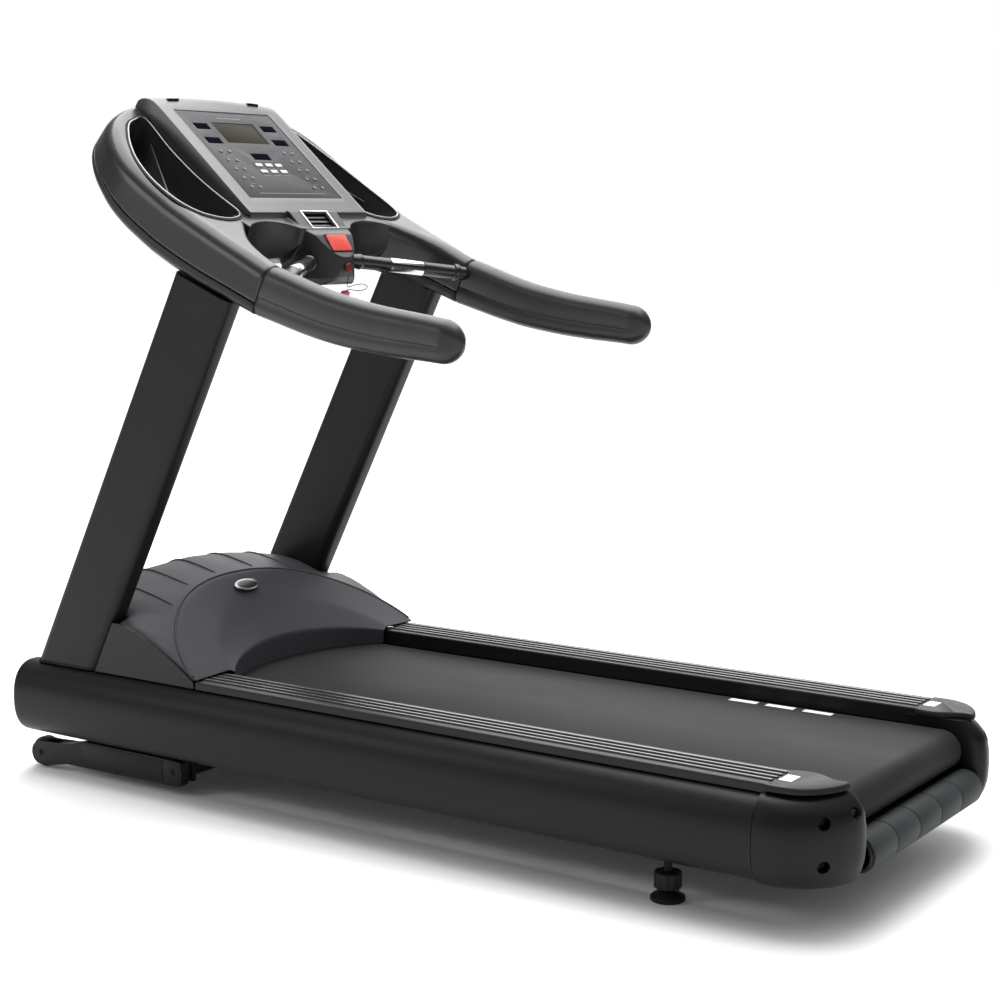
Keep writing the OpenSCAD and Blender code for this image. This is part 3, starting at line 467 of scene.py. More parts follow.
M = {
    "beam": surface("beam_powder", (0.0072, 0.0068, 0.0076), 0.40, 0.0, 1500, 0.18, 0.0003, 0.08, 0.06, scuff=0.06, spec=0.2),
    "upright": surface("upright_powder", (0.0100, 0.0098, 0.0106), 0.42, 0.0, 1500, 0.18, 0.0003, 0.08, 0.06, scuff=0.05, spec=0.2),
    "frame": surface("frame_powder", (0.007, 0.007, 0.0075), 0.5, 0.0, 1300, 0.25, 0.0004, 0.12, 0.08, wear=(0.03, 0.03, 0.03), spec=0.25),
    "lift": surface("lift_powder", (0.007, 0.007, 0.0075), 0.5, 0.0, 1300, 0.25, 0.0004, 0.12, 0.08, wear=(0.03, 0.03, 0.03), spec=0.25),
    "cap": surface("cap_moulded", (0.0060, 0.0057, 0.0062), 0.38, 0.0, 1100, 0.2, 0.0003, 0.08, 0.06, spec=0.2),
    "lid": surface("lid_moulded", (0.017, 0.0165, 0.017), 0.48, 0.0, 1100, 0.18, 0.0003, 0.06, 0.06, spec=0.16),
    "hood": surface("hood_moulded", (0.056, 0.0525, 0.060), 0.48, 0.0, 1200, 0.18, 0.0003, 0.05, 0.05, coat=0.0, spec=0.12),
    "panel": surface("panel_moulded", (0.014, 0.014, 0.015), 0.45, 0.0, 1100, 0.2, 0.0003, 0.06, 0.06, spec=0.25),
    "shell": surface("shell_moulded", (0.0150, 0.0146, 0.0158), 0.30, 0.0, 1300, 0.12, 0.0003, 0.06, 0.05, coat=0.1, spec=0.42),
    # painted shade: a darker copy of the shell plastic for the lower half of the ring, also rougher and less glossy
    "shell_underside_shaded": surface("shell_lower_painted_shade", (0.012, 0.012, 0.013), 0.38, 0.0, 1300, 0.15, 0.0003, 0.06, 0.05, spec=0.3),
    "box": surface("box_moulded", (0.028, 0.029, 0.032), 0.30, 0.1, 700, 0.02, 0.0002, 0.06, 0.04, coat=0.08),
    "face": surface("face_film", (0.026, 0.026, 0.029), 0.40, 0.05, 1500, 0.02, 0.0002, 0.05, 0.03, spec=0.12, big=3),
    "window": window_material(),
    "dark_window": surface("dark_window", (0.005, 0.005, 0.008), 0.5, 0.0, 900, 0.02, 0.0002, 0.1, 0.03, spec=0.0),
    "key": surface("key_caps", (0.50, 0.46, 0.42), 0.34, 0.1, 1500, 0.08, 0.0002, 0.06, 0.05),
    "dot": surface("membrane_keys", (0.085, 0.085, 0.09), 0.4, 0.1, 1500, 0.1, 0.0002, 0.06, 0.05, spec=0.3),
    "print": surface("printed_marks", (0.14, 0.14, 0.14), 0.5, 0.0, 1500, 0.05, 0.0002, 0.06, 0.05, spec=0.2),
    "bin": surface("bin_moulded", (0.026, 0.0265, 0.029), 0.36, 0.0, 800, 0.3, 0.0004, 0.12, 0.06),
    "groove": surface("dark_gap", (0.004, 0.004, 0.0045), 0.6, 0.0, 900, 0.1, 0.0003, 0.2, 0.1, spec=0.2),
    "chrome": surface("chrome_trim", (0.60, 0.60, 0.62), 0.18, 1.0, 700, 0.02, 0.0002, 0.03, 0.04),
    "rim": surface("rim_trim", (0.20, 0.20, 0.21), 0.30, 0.8, 700, 0.02, 0.0002, 0.05, 0.05),
    "badge": surface("badge_bright", (0.38, 0.38, 0.40), 0.25, 1.0, 700, 0.03, 0.0002, 0.05, 0.05),
    "badge_dark": surface("badge_field", (0.008, 0.008, 0.009), 0.3, 0.0, 900, 0.05, 0.0002, 0.1, 0.05),
    "pod": surface("pod_moulded", (0.0150, 0.0146, 0.0158), 0.34, 0.0, 1200, 0.15, 0.0003, 0.06, 0.05, spec=0.36, coat=0.0),
    "louver": surface("louver_black", (0.004, 0.004, 0.0045), 0.4, 0.0, 1000, 0.15, 0.0003, 0.1, 0.06),
    "red": surface("stop_red", (0.62, 0.062, 0.040), 0.36, 0.0, 1200, 0.06, 0.0002, 0.05, 0.05),
    # dark red: the safety key's own colour, and painted shade on the stop paddle's front face
    "key_red_and_stop_edge_shade": surface("key_red", (0.12, 0.012, 0.010), 0.38, 0.0, 1200, 0.06, 0.0002, 0.06, 0.05, spec=0.3),
    "clip": surface("clip_red", (0.40, 0.018, 0.055), 0.34, 0.0, 1200, 0.06, 0.0002, 0.06, 0.05),
    "cord": surface("cord_braid", (0.012, 0.012, 0.013), 0.7, 0.0, 4000, 0.5, 0.0003, 0.2, 0.1),
    "grip": surface("grip_soft", (0.0180, 0.0172, 0.0190), 0.36, 0.0, 1700, 0.25, 0.0003, 0.06, 0.05, spec=0.4),
    "bar": surface("bar_black", (0.007, 0.0075, 0.007), 0.28, 0.0, 1200, 0.1, 0.0003, 0.1, 0.06),
    "belt": belt_material(),
    "mark": surface("belt_print", (0.72, 0.70, 0.67), 0.5, 0.0, 1300, 0.25, 0.0003, 0.05, 0.06),
    "sticker": surface("plain_label", (0.80, 0.80, 0.80), 0.35, 0.0, 900, 0.05, 0.0002, 0.03, 0.05),
    "rail": surface("rail_anodised", (0.016, 0.016, 0.017), 0.40, 0.1, 900, 0.08, 0.0003, 0.08, 0.05, stretch=(1, 0.05, 1), spec=0.2),
    # painted highlight: bright brushed metal for the strips along the rail ridge crests
    "rail_painted_highlight": brushed("rail_ridge_painted_highlight", (0.26, 0.26, 0.27), 0.30, (30, 1, 30), 90, 0.08),
    # painted shade: a near-black copy of the rail colour, used on the rail side faces and on the rear pan
    "painted_shade_dark": surface("painted_shade_rail_sides_and_pan", (0.006, 0.006, 0.007), 0.45, 0.0, 1200, 0.15, 0.0003, 0.08, 0.06, spec=0.3),
    "sleeve": surface("sleeve_soft", (0.032, 0.037, 0.037), 0.6, 0.0, 900, 0.3, 0.0004, 0.07, 0.08, spec=0.2),
    "rubber": surface("rubber_black", (0.008, 0.008, 0.0085), 0.6, 0.0, 700, 0.4, 0.0005, 0.15, 0.1, wear=(0.018, 0.018, 0.018), spec=0.35),
    "steel": brushed("turned_steel", (0.55, 0.55, 0.56), 0.28, (1, 40, 40), 140, 0.12),
    "zinc": surface("zinc_plate", (0.42, 0.42, 0.42), 0.35, 1.0, 300, 0.12, 0.0003, 0.12, 0.1),
    "motor": surface("motor_enamel", (0.016, 0.016, 0.018), 0.4, 0.0, 900, 0.2, 0.0004, 0.08, 0.08),
    "control": surface("controller_case", (0.12, 0.12, 0.13), 0.42, 0.9, 500, 0.15, 0.0003, 0.08, 0.08),
    "wood": wood_material(),
    "switch": surface("switch_red", (0.35, 0.025, 0.02), 0.3, 0.0, 1200, 0.05, 0.0002, 0.06, 0.05),
}


def paint(o, key):
    o.data.materials.clear()
    o.data.materials.append(M[key])
    return o


def repaint(node, key, angle=30):
    """A CAD node keeps its mesh; only its material slots change."""
    o = N[node]
    if len(o.material_slots) == 0:
        o.data.materials.append(M[key])
    for s in o.material_slots:
        s.material = M[key]
    for p in o.data.polygons:
        p.use_smooth = False


def piece(o, key, body, slot, *nodes):
    if key:
        paint(o, key)
    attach(o, body)
    if nodes:
        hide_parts(*nodes)
    return o


# ------------------------------------------------------------------ camera and the free cord come first
cam_d = bpy.data.cameras.new("camera")
cam_d.sensor_width = 36.0
cam_d.sensor_fit = "HORIZONTAL"
cam_d.lens = 1982.9 * 36.0 / 1000.0
cam_d.clip_start = 0.05
cam_d.clip_end = 60.0
cam = bpy.data.objects.new("camera", cam_d)
bpy.context.scene.collection.objects.link(cam)
yaw, pit = math.radians(34.4), math.radians(-8.2)
fwd = Vector((math.cos(yaw) * math.cos(pit), math.sin(yaw) * math.cos(pit), math.sin(pit)))
cam.location = (-3.7063, -2.6381 + YS * MM, 1.3635)
cam.rotation_euler = fwd.to_track_quat("-Z", "Y").to_euler()
bpy.context.scene.camera = cam

LAN = [(0, 334, 1223), (0, 336, 1214), (0, 340, 1200), (1, 338, 1192), (4, 322, 1197), (7, 300, 1200), (8, 286, 1195),
       (5, 292, 1187), (2, 310, 1184), (0, 328, 1186), (-1, 341, 1185), (-1, 346, 1179), (-1, 348, 1175)]


def route(P):
    out = []
    for i in range(len(P) - 1):
        a, b = P[max(0, i - 1)], P[i]
        c, d = P[i + 1], P[min(len(P) - 1, i + 2)]
        for t in (0, 0.34, 0.67):
            out.append(tuple(crom(a[k], b[k], c[k], d[k], t) for k in range(3)))
    out.append(P[-1])
    return out


LR = [W(p) for p in route(LAN)]
cu = bpy.data.curves.new("lanyard_cord", "CURVE")
cu.dimensions = "3D"
sp = cu.splines.new("POLY")
sp.points.add(len(LR) - 1)
for q, p in zip(sp.points, LR):
    q.co = (*p, 1)
cu.bevel_depth = 0.001
cu.bevel_resolution = 3
cord = bpy.data.objects.new("lanyard_cord", cu)
bpy.context.scene.collection.objects.link(cord)
cord.data.materials.append(M["cord"])
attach(cord, "safety_key")
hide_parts("lanyard")
cv = []
for y0_, k_ in ((-4.5, 0.86), (-3.2, 1.0), (3.2, 1.0), (4.5, 0.86)):
    r_ = []
    for i_ in range(40):
        t_ = 2 * math.pi * i_ / 40
        x_ = 14 * k_ * spow(math.cos(t_), 0.45)
        z_ = 11 * k_ * spow(math.sin(t_), 0.45)
        yy_ = y0_
        ca_, sa_ = math.cos(math.radians(25)), math.sin(math.radians(25))
        r_.append((-1 + x_, 348 + yy_ * ca_ - z_ * sa_, 1173 + yy_ * sa_ + z_ * ca_))
    cv.append(r_)
clip = flat_shade(loft("lanyard_clip_body", cv), 40)
clip.data.materials.append(M["clip"])
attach(clip, "safety_key")
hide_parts("lanyard_clip")

# ------------------------------------------------------------------ console ring
ARM = [[236, 1251, 24, 347, 411, 118], [270, 1267, 25, 344, 411.5, 120], [310, 1287, 26, 336, 412, 123],
       [350, 1306, 26.5, 318, 412, 126], [385, 1323, 27, 292, 412, 129], [420, 1341, 27.5, 258, 412, 131],
       [446, 1354, 28, 230, 412, 132], [470, 1366, 28.5, 200, 412, 132], [500, 1382, 29, 160, 412, 132]]
MID = [[462, 1362, 28.5, 412, 132], [490, 1377, 29, 412, 132], [520, 1393, 30, 412, 132], [560, 1418, 32, 412, 131],
       [600, 1444, 34, 412, 129], [640, 1473, 36.5, 411, 124], [670, 1497, 38, 406, 118], [695, 1519, 40, 398, 114],
       [715, 1537, 41, 388, 111], [735, 1556, 42, 374, 108], [752, 1572, 43, 357, 106], [768, 1587, 43, 336, 104],
       [782, 1600, 43, 309, 102], [794, 1611, 43, 276, 100], [803, 1619, 43, 236, 98], [810, 1625, 43, 190, 95], [815, 1629, 43, 140, 92]]
PF = 0.75
ZT = [[-300, 1140], [-237, 1150], [-134, 1162], [9, 1185], [120, 1215], [218, 1248], [341, 1303], [440, 1352],
      [520, 1394], [600, 1444], [670, 1497], [710, 1532], [760, 1580], [800, 1616], [840, 1650]]
ZTR = refine(ZT, 8)


def zt(y):
    return lookup(y, ZTR)


def rrect(x0, x1, n0, n1, rb, rt, rt1=None, k=7):
    ru = rt if rt1 is None else rt1
    P = []
    for i in range(k + 1):
        t = math.radians(180 + 90 * i / k)
        P.append((x0 + rb + rb * math.cos(t), n0 + rb + rb * math.sin(t)))
    for i in range(k + 1):
        t = math.radians(270 + 90 * i / k)
        P.append((x1 - rb + rb * math.cos(t), n0 + rb + rb * math.sin(t)))
    for i in range(k + 1):
        t = math.radians(90 * i / k)
        P.append((x1 - ru + ru * math.cos(t), n1 - ru + ru * math.sin(t)))
    for i in range(k + 1):
        t = math.radians(90 + 90 * i / k)
        P.append((x0 + rt + rt * math.cos(t), n1 - rt + rt * math.sin(t)))
    return P


def ring(s, pts):
    a = math.radians(s[2])
    return [(p[0], s[0] - p[1] * math.sin(a), s[1] + p[1] * math.cos(a)) for p in pts]


def mx(S):
    return [[(-p[0], p[1], p[2]) for p in r] for r in S]


RA, RM = refine(ARM, 5), refine(MID, 5)


def shell(name, upper):
    def sec(x0, x1, h):
        if upper:
            return rrect(x0, x1, -PF * h, 0, 3.5, 27 if x0 > 0 else 34, 34)
        return rrect(x0, x1, -h, -PF * h - 1.4, 22, 3.5)
    arm = [ring(s, sec(s[3], s[4], s[5])) for s in RA]
    mid = [ring(s, sec(-s[3], s[3], s[4])) for s in RM]
    a = loft(name + "_a", arm)
    b = loft(name + "_b", mx(arm))
    c = loft(name + "_c", mid)
    return join(name, [a, b, c])


BA = math.radians(36)
BIN = [[226, 768], [262, 764], [298, 750], [330, 720], [352, 690], [370, 655], [383, 605], [387, 550], [382, 505],
       [366, 470], [338, 450], [300, 441], [262, 448], [238, 464], [226, 490], [224, 560], [224, 630], [224, 700]]
BINR = refine_closed(BIN, 4)


def binuv(p):
    z = zt(p[1])
    return (p[0], (p[1] - 600) * math.cos(BA) + (z - 1444) * math.sin(BA))


def binto(p):
    """(x, v, w) on the tilted bin plane to the object's own frame."""
    return (p[0], 600 + p[1] * math.cos(BA) - p[2] * math.sin(BA), 1444 + p[1] * math.sin(BA) + p[2] * math.cos(BA))


def off_loop(P, d):
    """Offset a closed 2-D loop outwards by d."""
    m = len(P)
    area = sum(P[i][0] * P[(i + 1) % m][1] - P[(i + 1) % m][0] * P[i][1] for i in range(m))
    s = 1 if area > 0 else -1
    out = []
    for i in range(m):
        a, c = P[(i - 1) % m], P[(i + 1) % m]
        t = Vector((c[0] - a[0], c[1] - a[1])).normalized()
        out.append((P[i][0] + s * t.y * d, P[i][1] - s * t.x * d))
    return out


BUV = [binuv(p) for p in BINR]


def bin_prism(name, d, w0, w1):
    L = off_loop(BUV, d)
    return loft(name, [[binto((p[0], p[1], w0)) for p in L], [binto((p[0], p[1], w1)) for p in L]], smooth=False)


upper = shell("console_upper_skin", True)
for side in (1, -1):
    c = bin_prism("cut", 1.0, -100, 90)
    if side < 0:
        c2 = mirrored(c, "cut2")
        bpy.data.objects.remove(c)
        c = c2
    boolean(upper, c)
remesh(upper, 2.8, 9)
piece(upper, "shell", "frame", "shell_plastic", "console_upper")
# painted shade: the lower half of the ring gets a darker copy of the shell plastic than the upper half
lower = shell("console_lower_skin", False)
remesh(lower, 3.2, 8)
piece(lower, "shell_underside_shaded", "frame", "shell_plastic", "console_lower")

# bins: wall, floor, divider, bright rim and dark gap
L0 = off_loop(BUV, -0.4)
rows = []
for d, w in ((0, 1), (-1.5, -20), (-3, -50), (-5, -70), (-9, -78), (-16, -81.5), (-30, -82)):
    L = off_loop(L0, d)
    row = []
    for i, p in enumerate(L):
        if w == 1:
            q = BINR[i]
            row.append((p[0], q[1], zt(q[1]) - 2))
        else:
            row.append(binto((p[0], p[1], w)))
    rows.append(row)
n = len(rows[0])
verts = [p for r in rows for p in r]
faces = [(i * n + j, i * n + (j + 1) % n, (i + 1) * n + (j + 1) % n, (i + 1) * n + j) for i in range(len(rows) - 1) for j in range(n)]
faces.append(tuple((len(rows) - 1) * n + j for j in range(n)))
liner = obj_from("bin_liner_skin", verts, faces)
s = liner.modifiers.new("s", "SOLIDIFY")
s.thickness = 0.0022
s.offset = 1.0
apply_mods(liner)
flat_shade(liner, 50)
fin = []
for w in (-80, -60, -40, -20, -19):
    e = 1.2 if w == -19 else 2.0
    a, b = Vector((356, -56)), Vector((226, 172))
    t = (b - a).normalized()
    nn = Vector((t.y, -t.x)) * e
    fin.append([binto((q.x, q.y, w)) for q in (a + nn, b + nn, b - nn, a - nn)])
fin_o = flat_shade(loft("fin", fin, smooth=False), 30)
piece(both(join("bin_liner_skins", [liner, fin_o]), "bin_liners_fine"), "bin", "frame", "bin_plastic", "bin_liners")
rim_pts = [(p[0], p[1], zt(p[1]) + 1.2) for p in BINR]
rim = tube("bin_rim", rim_pts, 3.0, 10, closed=True)
piece(both(rim, "bin_rims_fine"), "rim", "frame", "trim_chrome", "bin_rims")
gap_pts = []
Lg = off_loop([(p[0], p[1]) for p in BINR], 5.0)
for p in Lg:
    gap_pts.append((p[0], p[1], zt(p[1]) - 1.2))
gap = tube("bin_gap", gap_pts, 2.6, 8, closed=True)
piece(both(gap, "bin_gaps"), "groove", "frame", "bin_plastic")

# ------------------------------------------------------------------ console housing
FA = math.radians(41.5)


def faceto(p):
    return (p[0], 491 + p[1] * math.cos(FA) - p[2] * math.sin(FA), 1404 + p[1] * math.sin(FA) + p[2] * math.cos(FA))


BOXP = [(449, 1352), (449, 1368), (458, 1375), (475, 1389.5), (600, 1500), (718, 1604), (736, 1619), (748, 1628), (760, 1634),
        (774, 1637), (788, 1637), (800, 1632), (810, 1618), (822, 1598), (829, 1566), (790, 1510), (724, 1444), (650, 1380), (575, 1334), (520, 1330)]
secs = []
NX = 36
for i in range(NX + 1):
    x = -216 + 432 * i / NX
    secs.append([(x, y, z + 7.5 * (1 - (x / 216) ** 2) * smoothstep((y - 722) / 40) * (1 if z > 1560 else 0)) for y, z in BOXP])
hb = loft("console_housing", secs, smooth=False)
boolean(hb, frame_box("cut", faceto, -171, 171, -2, 313, -3.4, 60))
bevel(hb, 4.0, 3, 38)
piece(hb, "box", "frame", "box_plastic", "console_box")
fp = frame_box("face_plate", faceto, -170.2, 170.2, -1.2, 312.2, -6, -1.4)
for x0, x1, y0, y1 in ((-75, 75, 199, 273), (-145, -95, 246, 268), (95, 145, 246, 268), (-147, -95, 194, 216), (95, 147, 194, 216), (-31.5, 31.5, 137.5, 160.5)):
    boolean(fp, frame_box("cut", faceto, x0, x1, y0, y1, -3.2, 5))
for x in (-36, 0, 36):
    for w in (94, 117):
        boolean(fp, frame_box("cut", faceto, x - 12.3, x + 12.3, w - 6.3, w + 6.3, -20, 5))
bevel(fp, 0.8, 2, 40)
piece(fp, "face", "frame", "face_film", "face_panel")
wn = [frame_box("w0", faceto, -74.4, 74.4, 199.6, 272.4, -5, -2.2)]
piece(bevel(wn[0], 0.8, 2), "window", "frame", "window_film", "display_windows").name = "display_glass"
dk = [frame_box("w%d" % i, faceto, a + .6, b - .6, c + .6, d - .6, -5, -2.0) for i, (a, b, c, d) in enumerate(
    ((-145, -95, 246, 268), (95, 145, 246, 268), (-147, -95, 194, 216), (95, 147, 194, 216), (-31.5, 31.5, 137.5, 160.5)))]
piece(bevel(join("side_windows", dk), 0.6, 2), "dark_window", "frame", "window_film")
dots = []
for sx in (-1, 1):
    for x in (100, 130):
        for w in (165, 133, 101, 69, 37):
            dots.append(lathe("d", [(0, 0.4), (3.4, 0.35), (4.6, 0), (5.0, -0.7), (5.2, -1.6)], faceto((sx * x, w, 0.1)), (0, -math.sin(FA), math.cos(FA)), 24))
piece(join("membrane_keys", dots), "dot", "frame", "dot_keys", "keypad")
marks = [frame_box("m", faceto, x - 14, x + 14, w - 0.9, w + 0.9, -1.5, -1.15) for x in (-36, 0, 36) for w in (80,)]
marks += [frame_box("m", faceto, -120, 120, 14, 16, -1.5, -1.15), frame_box("m", faceto, -44, 44, 288, 291, -1.5, -1.15)]
for sx in (-1, 1):
    for w in (176, 144, 112, 80, 48):
        marks.append(frame_box("m", faceto, sx * 115 - 10, sx * 115 + 10, w - 0.6, w + 0.6, -1.5, -1.15))
piece(join("printed_lines", marks), "print", "frame", "face_film")
for i in range(6):
    x = 36 * (i % 3 - 1)
    w = 94 if i > 2 else 117
    k = frame_box("key_%d_cap" % (i + 1), faceto, x - 11.6, x + 11.6, w - 5.6, w + 5.6, -4, 0.9)
    piece(bevel(k, 1.6, 3, 30), "key", "key_%d" % (i + 1), "key_silver", "key_%d" % (i + 1))
# vent slots on the top edge
sl = []
for x0 in (-160, 127):
    for k in range(7):
        x = x0 + k * 5
        t = smoothstep((762 - 722) / 40) * 7.5 * (1 - (x / 216) ** 2)
        sl.append(box("v", x, x + 2.4, 750, 764, 1626 + t, 1635.0 + t))
piece(join("top_slots", sl), "groove", "frame", "box_plastic")

# ------------------------------------------------------------------ pod
POD = [(345, 1204), (352, 1199), (372, 1196), (430, 1196), (500, 1205), (530, 1262), (530, 1360), (470, 1376), (443, 1371), (400, 1327),
       (379, 1316), (350, 1274), (338, 1262), (337, 1240), (338, 1222)]


def plan(t, hw, yf):
    return (hw * spow(math.cos(t), 1.10), 432 + yf * spow(math.sin(t), 1.10))


body = prism_x("pod_a", -95, 95, [(372, 1197), (356, 1203), (345, 1216), (339, 1236), (339, 1262), (351, 1275), (380, 1316), (401, 1328), (443, 1371), (455, 1373), (480, 1373), (480, 1230), (440, 1200)])
pl = []
for i in range(33):
    t = math.pi + math.pi * i / 32
    pl.append(plan(t, 88, 95))
pl = pl + [(88, 470), (-88, 470)]
pr = loft("pod_b", [[(x * (0.86 if z < 1200 else 1.0), y, z) for x, y in pl] for z in (1190, 1212, 1240, 1400)], smooth=False)
boolean(body, pr, "INTERSECT")
dk_p = [(400, zt(400) - 1.2), (408, zt(408) - 1.2), (416, zt(416) - 1.2), (424, zt(424) - 1.2), (434, zt(434) - 1.2), (442, zt(442) - 1.2),
        (452, zt(452) - 1.2), (464, zt(464) - 2.5), (500, 1300), (520, 1262), (505, 1250), (470, 1248), (436, 1262), (412, 1292)]
boolean(body, prism_x("pod_deck", -262, 262, dk_p), "UNION")
for sx in (-1, 1):
    ev, ef = [], []
    for i in range(25):
        th = math.pi * i / 24
        for j in range(48):
            ph = 2 * math.pi * j / 48
            ev.append((sx * 182 + 104 * math.sin(th) * math.cos(ph), 380 + 63 * math.sin(th) * math.sin(ph), 1285 + 116 * math.cos(th)))
    for i in range(24):
        for j in range(48):
            ef.append((i * 48 + j, i * 48 + (j + 1) % 48, (i + 1) * 48 + (j + 1) % 48, (i + 1) * 48 + j))
    boolean(body, obj_from("scoop", ev, ef))
remesh(body, 2.0, 14)
VA = math.radians(45.5)
SA = math.radians(55.4)


def ventto(p):
    return (p[0], 423 + p[1] * math.cos(VA) - p[2] * math.sin(VA), 1349.6 + p[1] * math.sin(VA) + p[2] * math.cos(VA))


def stopto(p):
    return (p[0], 365 + p[1] * math.cos(SA) - p[2] * math.sin(SA), 1295.5 + p[1] * math.sin(SA) + p[2] * math.cos(SA))


boolean(body, frame_box("cut", ventto, -45, 45, -26, 26, -26, 30))
boolean(body, frame_box("cut", stopto, -36.6, 36.6, -23.6, 23.6, -16, 30))
flat_shade(body, 45)
piece(body, "pod", "frame", "shell_plastic", "pod")
bz = frame_box("stop_bezel", stopto, -38.2, 38.2, -25.2, 25.2, -4, 1.0)
boolean(bz, frame_box("cut", stopto, -36.2, 36.2, -23.2, 23.2, -20, 20))
piece(bevel(bz, 0.6, 2), "groove", "frame", "shell_plastic")
vf = frame_box("vent_trim", ventto, -50, 50, -30, 30, -6, 3.2)
boolean(vf, frame_box("cut", ventto, -45.5, 45.5, -25.5, 25.5, -20, 20))
piece(bevel(vf, 1.6, 3), "chrome", "frame", "trim_chrome", "vent_frame")
vb = frame_box("vent_duct", ventto, -44.5, 44.5, -25.5, 25.5, -25, -24)
vs = [vb]
for a, b, c, d in ((-45.2, -39.2, -25.4, 25.4), (39.2, 45.2, -25.4, 25.4), (-45.2, 45.2, -25.4, -21.8), (-45.2, 45.2, 21.8, 25.4)):
    vs.append(frame_box("q", ventto, a, b, c, d, -25, 0.6))
piece(join("vent_ducts", vs), "groove", "frame", "shell_plastic")
for i in (-1, 0, 1):
    nm = "louver_%d" % (i + 2)
    secs = []
    for xx in (-38.6, -38.2, -20, 0, 20, 38.2, 38.6):
        sc = 0.9 if abs(xx) > 38.4 else 1.0
        pts = []
        for k in range(16):
            t = 2 * math.pi * k / 16
            u, v = 6.4 * math.cos(t) * sc, 1.3 * math.sin(t) * sc
            ca, sa = math.cos(math.radians(-20)), math.sin(math.radians(-20))
            pts.append(ventto((xx, i * 13.5 + u * ca - v * sa, -5 + u * sa + v * ca)))
        secs.append(pts)
    lv = loft(nm + "_blade", secs)
    piece(lv, "louver", nm, "louver_plastic", nm)
sb = []
for k, (e, h) in enumerate(((0.0, -10), (0.0, 1.0), (0.6, 2.6), (1.6, 3.4), (3.2, 3.8))):
    r = []
    for p in rrect(-35.6 + e, 35.6 - e, -22.6 + e, 22.6 - e, 6 - min(e, 3), 6 - min(e, 3), k=5):
        r.append(stopto((p[0], p[1], h + (2.4 * (1 - (p[0] / 36) ** 2) + 1.2 * (p[1] / 23)) * (1 if k > 2 else 0))))
    sb.append(r)
nb = len(sb[0])
stop = loft("stop_paddle", sb)
flat_shade(stop, 35)
piece(stop, "red", "stop_button", "stop_red", "stop_button")
# painted shade: a dark red band over the front side face of the stop paddle stands in for the shade on that face
piece(frame_box("stop_front_painted_shade", stopto, -34, 34, -23.0, -20.6, -8, 2.4), "key_red_and_stop_edge_shade", "stop_button", "stop_red")
kk = [lathe("k", [(0, 0), (9, 0.2), (10.6, 1.0), (11.2, 2.6), (11.2, 5), (10, 6.4), (9, 6.6), (9, 14)], (0, 331, 1238), (0, 1, 0), 40)]
kk.append(lathe("k2", [(2.3, -0.8), (3.3, 0), (3.9, 0), (3.9, 0.01)], (0, 334, 1223), (0, 0, 1), 20))
key = join("safety_key_knob", kk)
piece(key, "key_red_and_stop_edge_shade", "safety_key", "key_red", "safety_key")

# ------------------------------------------------------------------ grips and pulse bars
GR = [[-228, 1149, 8, 351, 409, 94], [-180, 1156, 8, 351, 409, 97], [-134, 1162, 9, 350, 410, 100], [-60, 1172, 9, 350, 410, 103],
      [0, 1183, 11, 349, 411, 106], [60, 1196, 14, 348, 411, 109], [120, 1213, 17, 348, 411, 112], [175, 1231, 21, 347, 411, 115], [233, 1249.6, 24, 347, 411, 118]]


def grip_sec(s, inset=0.0):
    h = s[5] - 2 * inset
    r = min(27, (s[4] - s[3]) / 2 - 1.0 - inset, h / 2 - 1.0)
    P = rrect(s[3] + inset, s[4] - inset, -s[5] + inset, -inset, r, r, r, 8)
    # a shallow V groove along the mould's parting line, on both sides
    out = []
    for i, p in enumerate(P):
        out.append(p)
        if i == 17 or i == 35:
            q = P[(i + 1) % len(P)]
            xx = p[0]
            n0 = -0.60 * s[5]
            d = 1 if i == 17 else -1
            g = 1.3 if h > 60 else 0.0
            out += [(xx, n0 - d * 2.2), (xx - d * g, n0), (xx, n0 + d * 2.2)]
    return ring(s, out)


tip = []
for k in range(14):
    a = math.pi / 2 * (k + 0.35) / 14
    d = 46 * math.cos(a)
    q = max(0.06, math.sin(a))
    h, w = 94 * q, 29 * q
    tip.append([-228 - d * 0.97, 1149 - (94 - h) / 2 - d * 0.14, 8, 380 - w, 380 + w, h])
secs = []
for s in tip:
    h = s[5]
    r = min((s[4] - s[3]) / 2 - 0.05, h / 2 - 0.05, 27)
    P = rrect(s[3], s[4], -h, 0, r, r, r, 8)
    out = []
    for i, p in enumerate(P):
        out.append(p)
        if i == 17 or i == 35:
            d = 1 if i == 17 else -1
            n0 = -0.60 * h
            e = min(2.2, h * 0.02)
            out += [(p[0], n0 - d * e), (p[0], n0), (p[0], n0 + d * e)]
    secs.append(ring(s, out))
for s in refine(GR, 5):
    secs.append(grip_sec(s))
endr = GR[-1]
secs[-1] = grip_sec(endr, 1.5)
secs.insert(-1, grip_sec([endr[0] - 2.0, endr[1] - 0.9] + endr[2:]))
g = loft("grip_skin", secs)
flat_shade(g, 55)
piece(both(g, "grips_fine"), "grip", "frame", "grip_rubber", "grips")
secs = [ring(s, rrect(s[3] + 2.5, s[4] - 2.5, -s[5] + 2.5, -2.5, 22, 22)) for s in ([231, 1248.8, 24, 347, 411, 118], [239, 1252.4, 24, 347, 411, 118])]
piece(both(loft("seam_ring", secs), "seam_rings"), "groove", "frame", "grip_rubber")

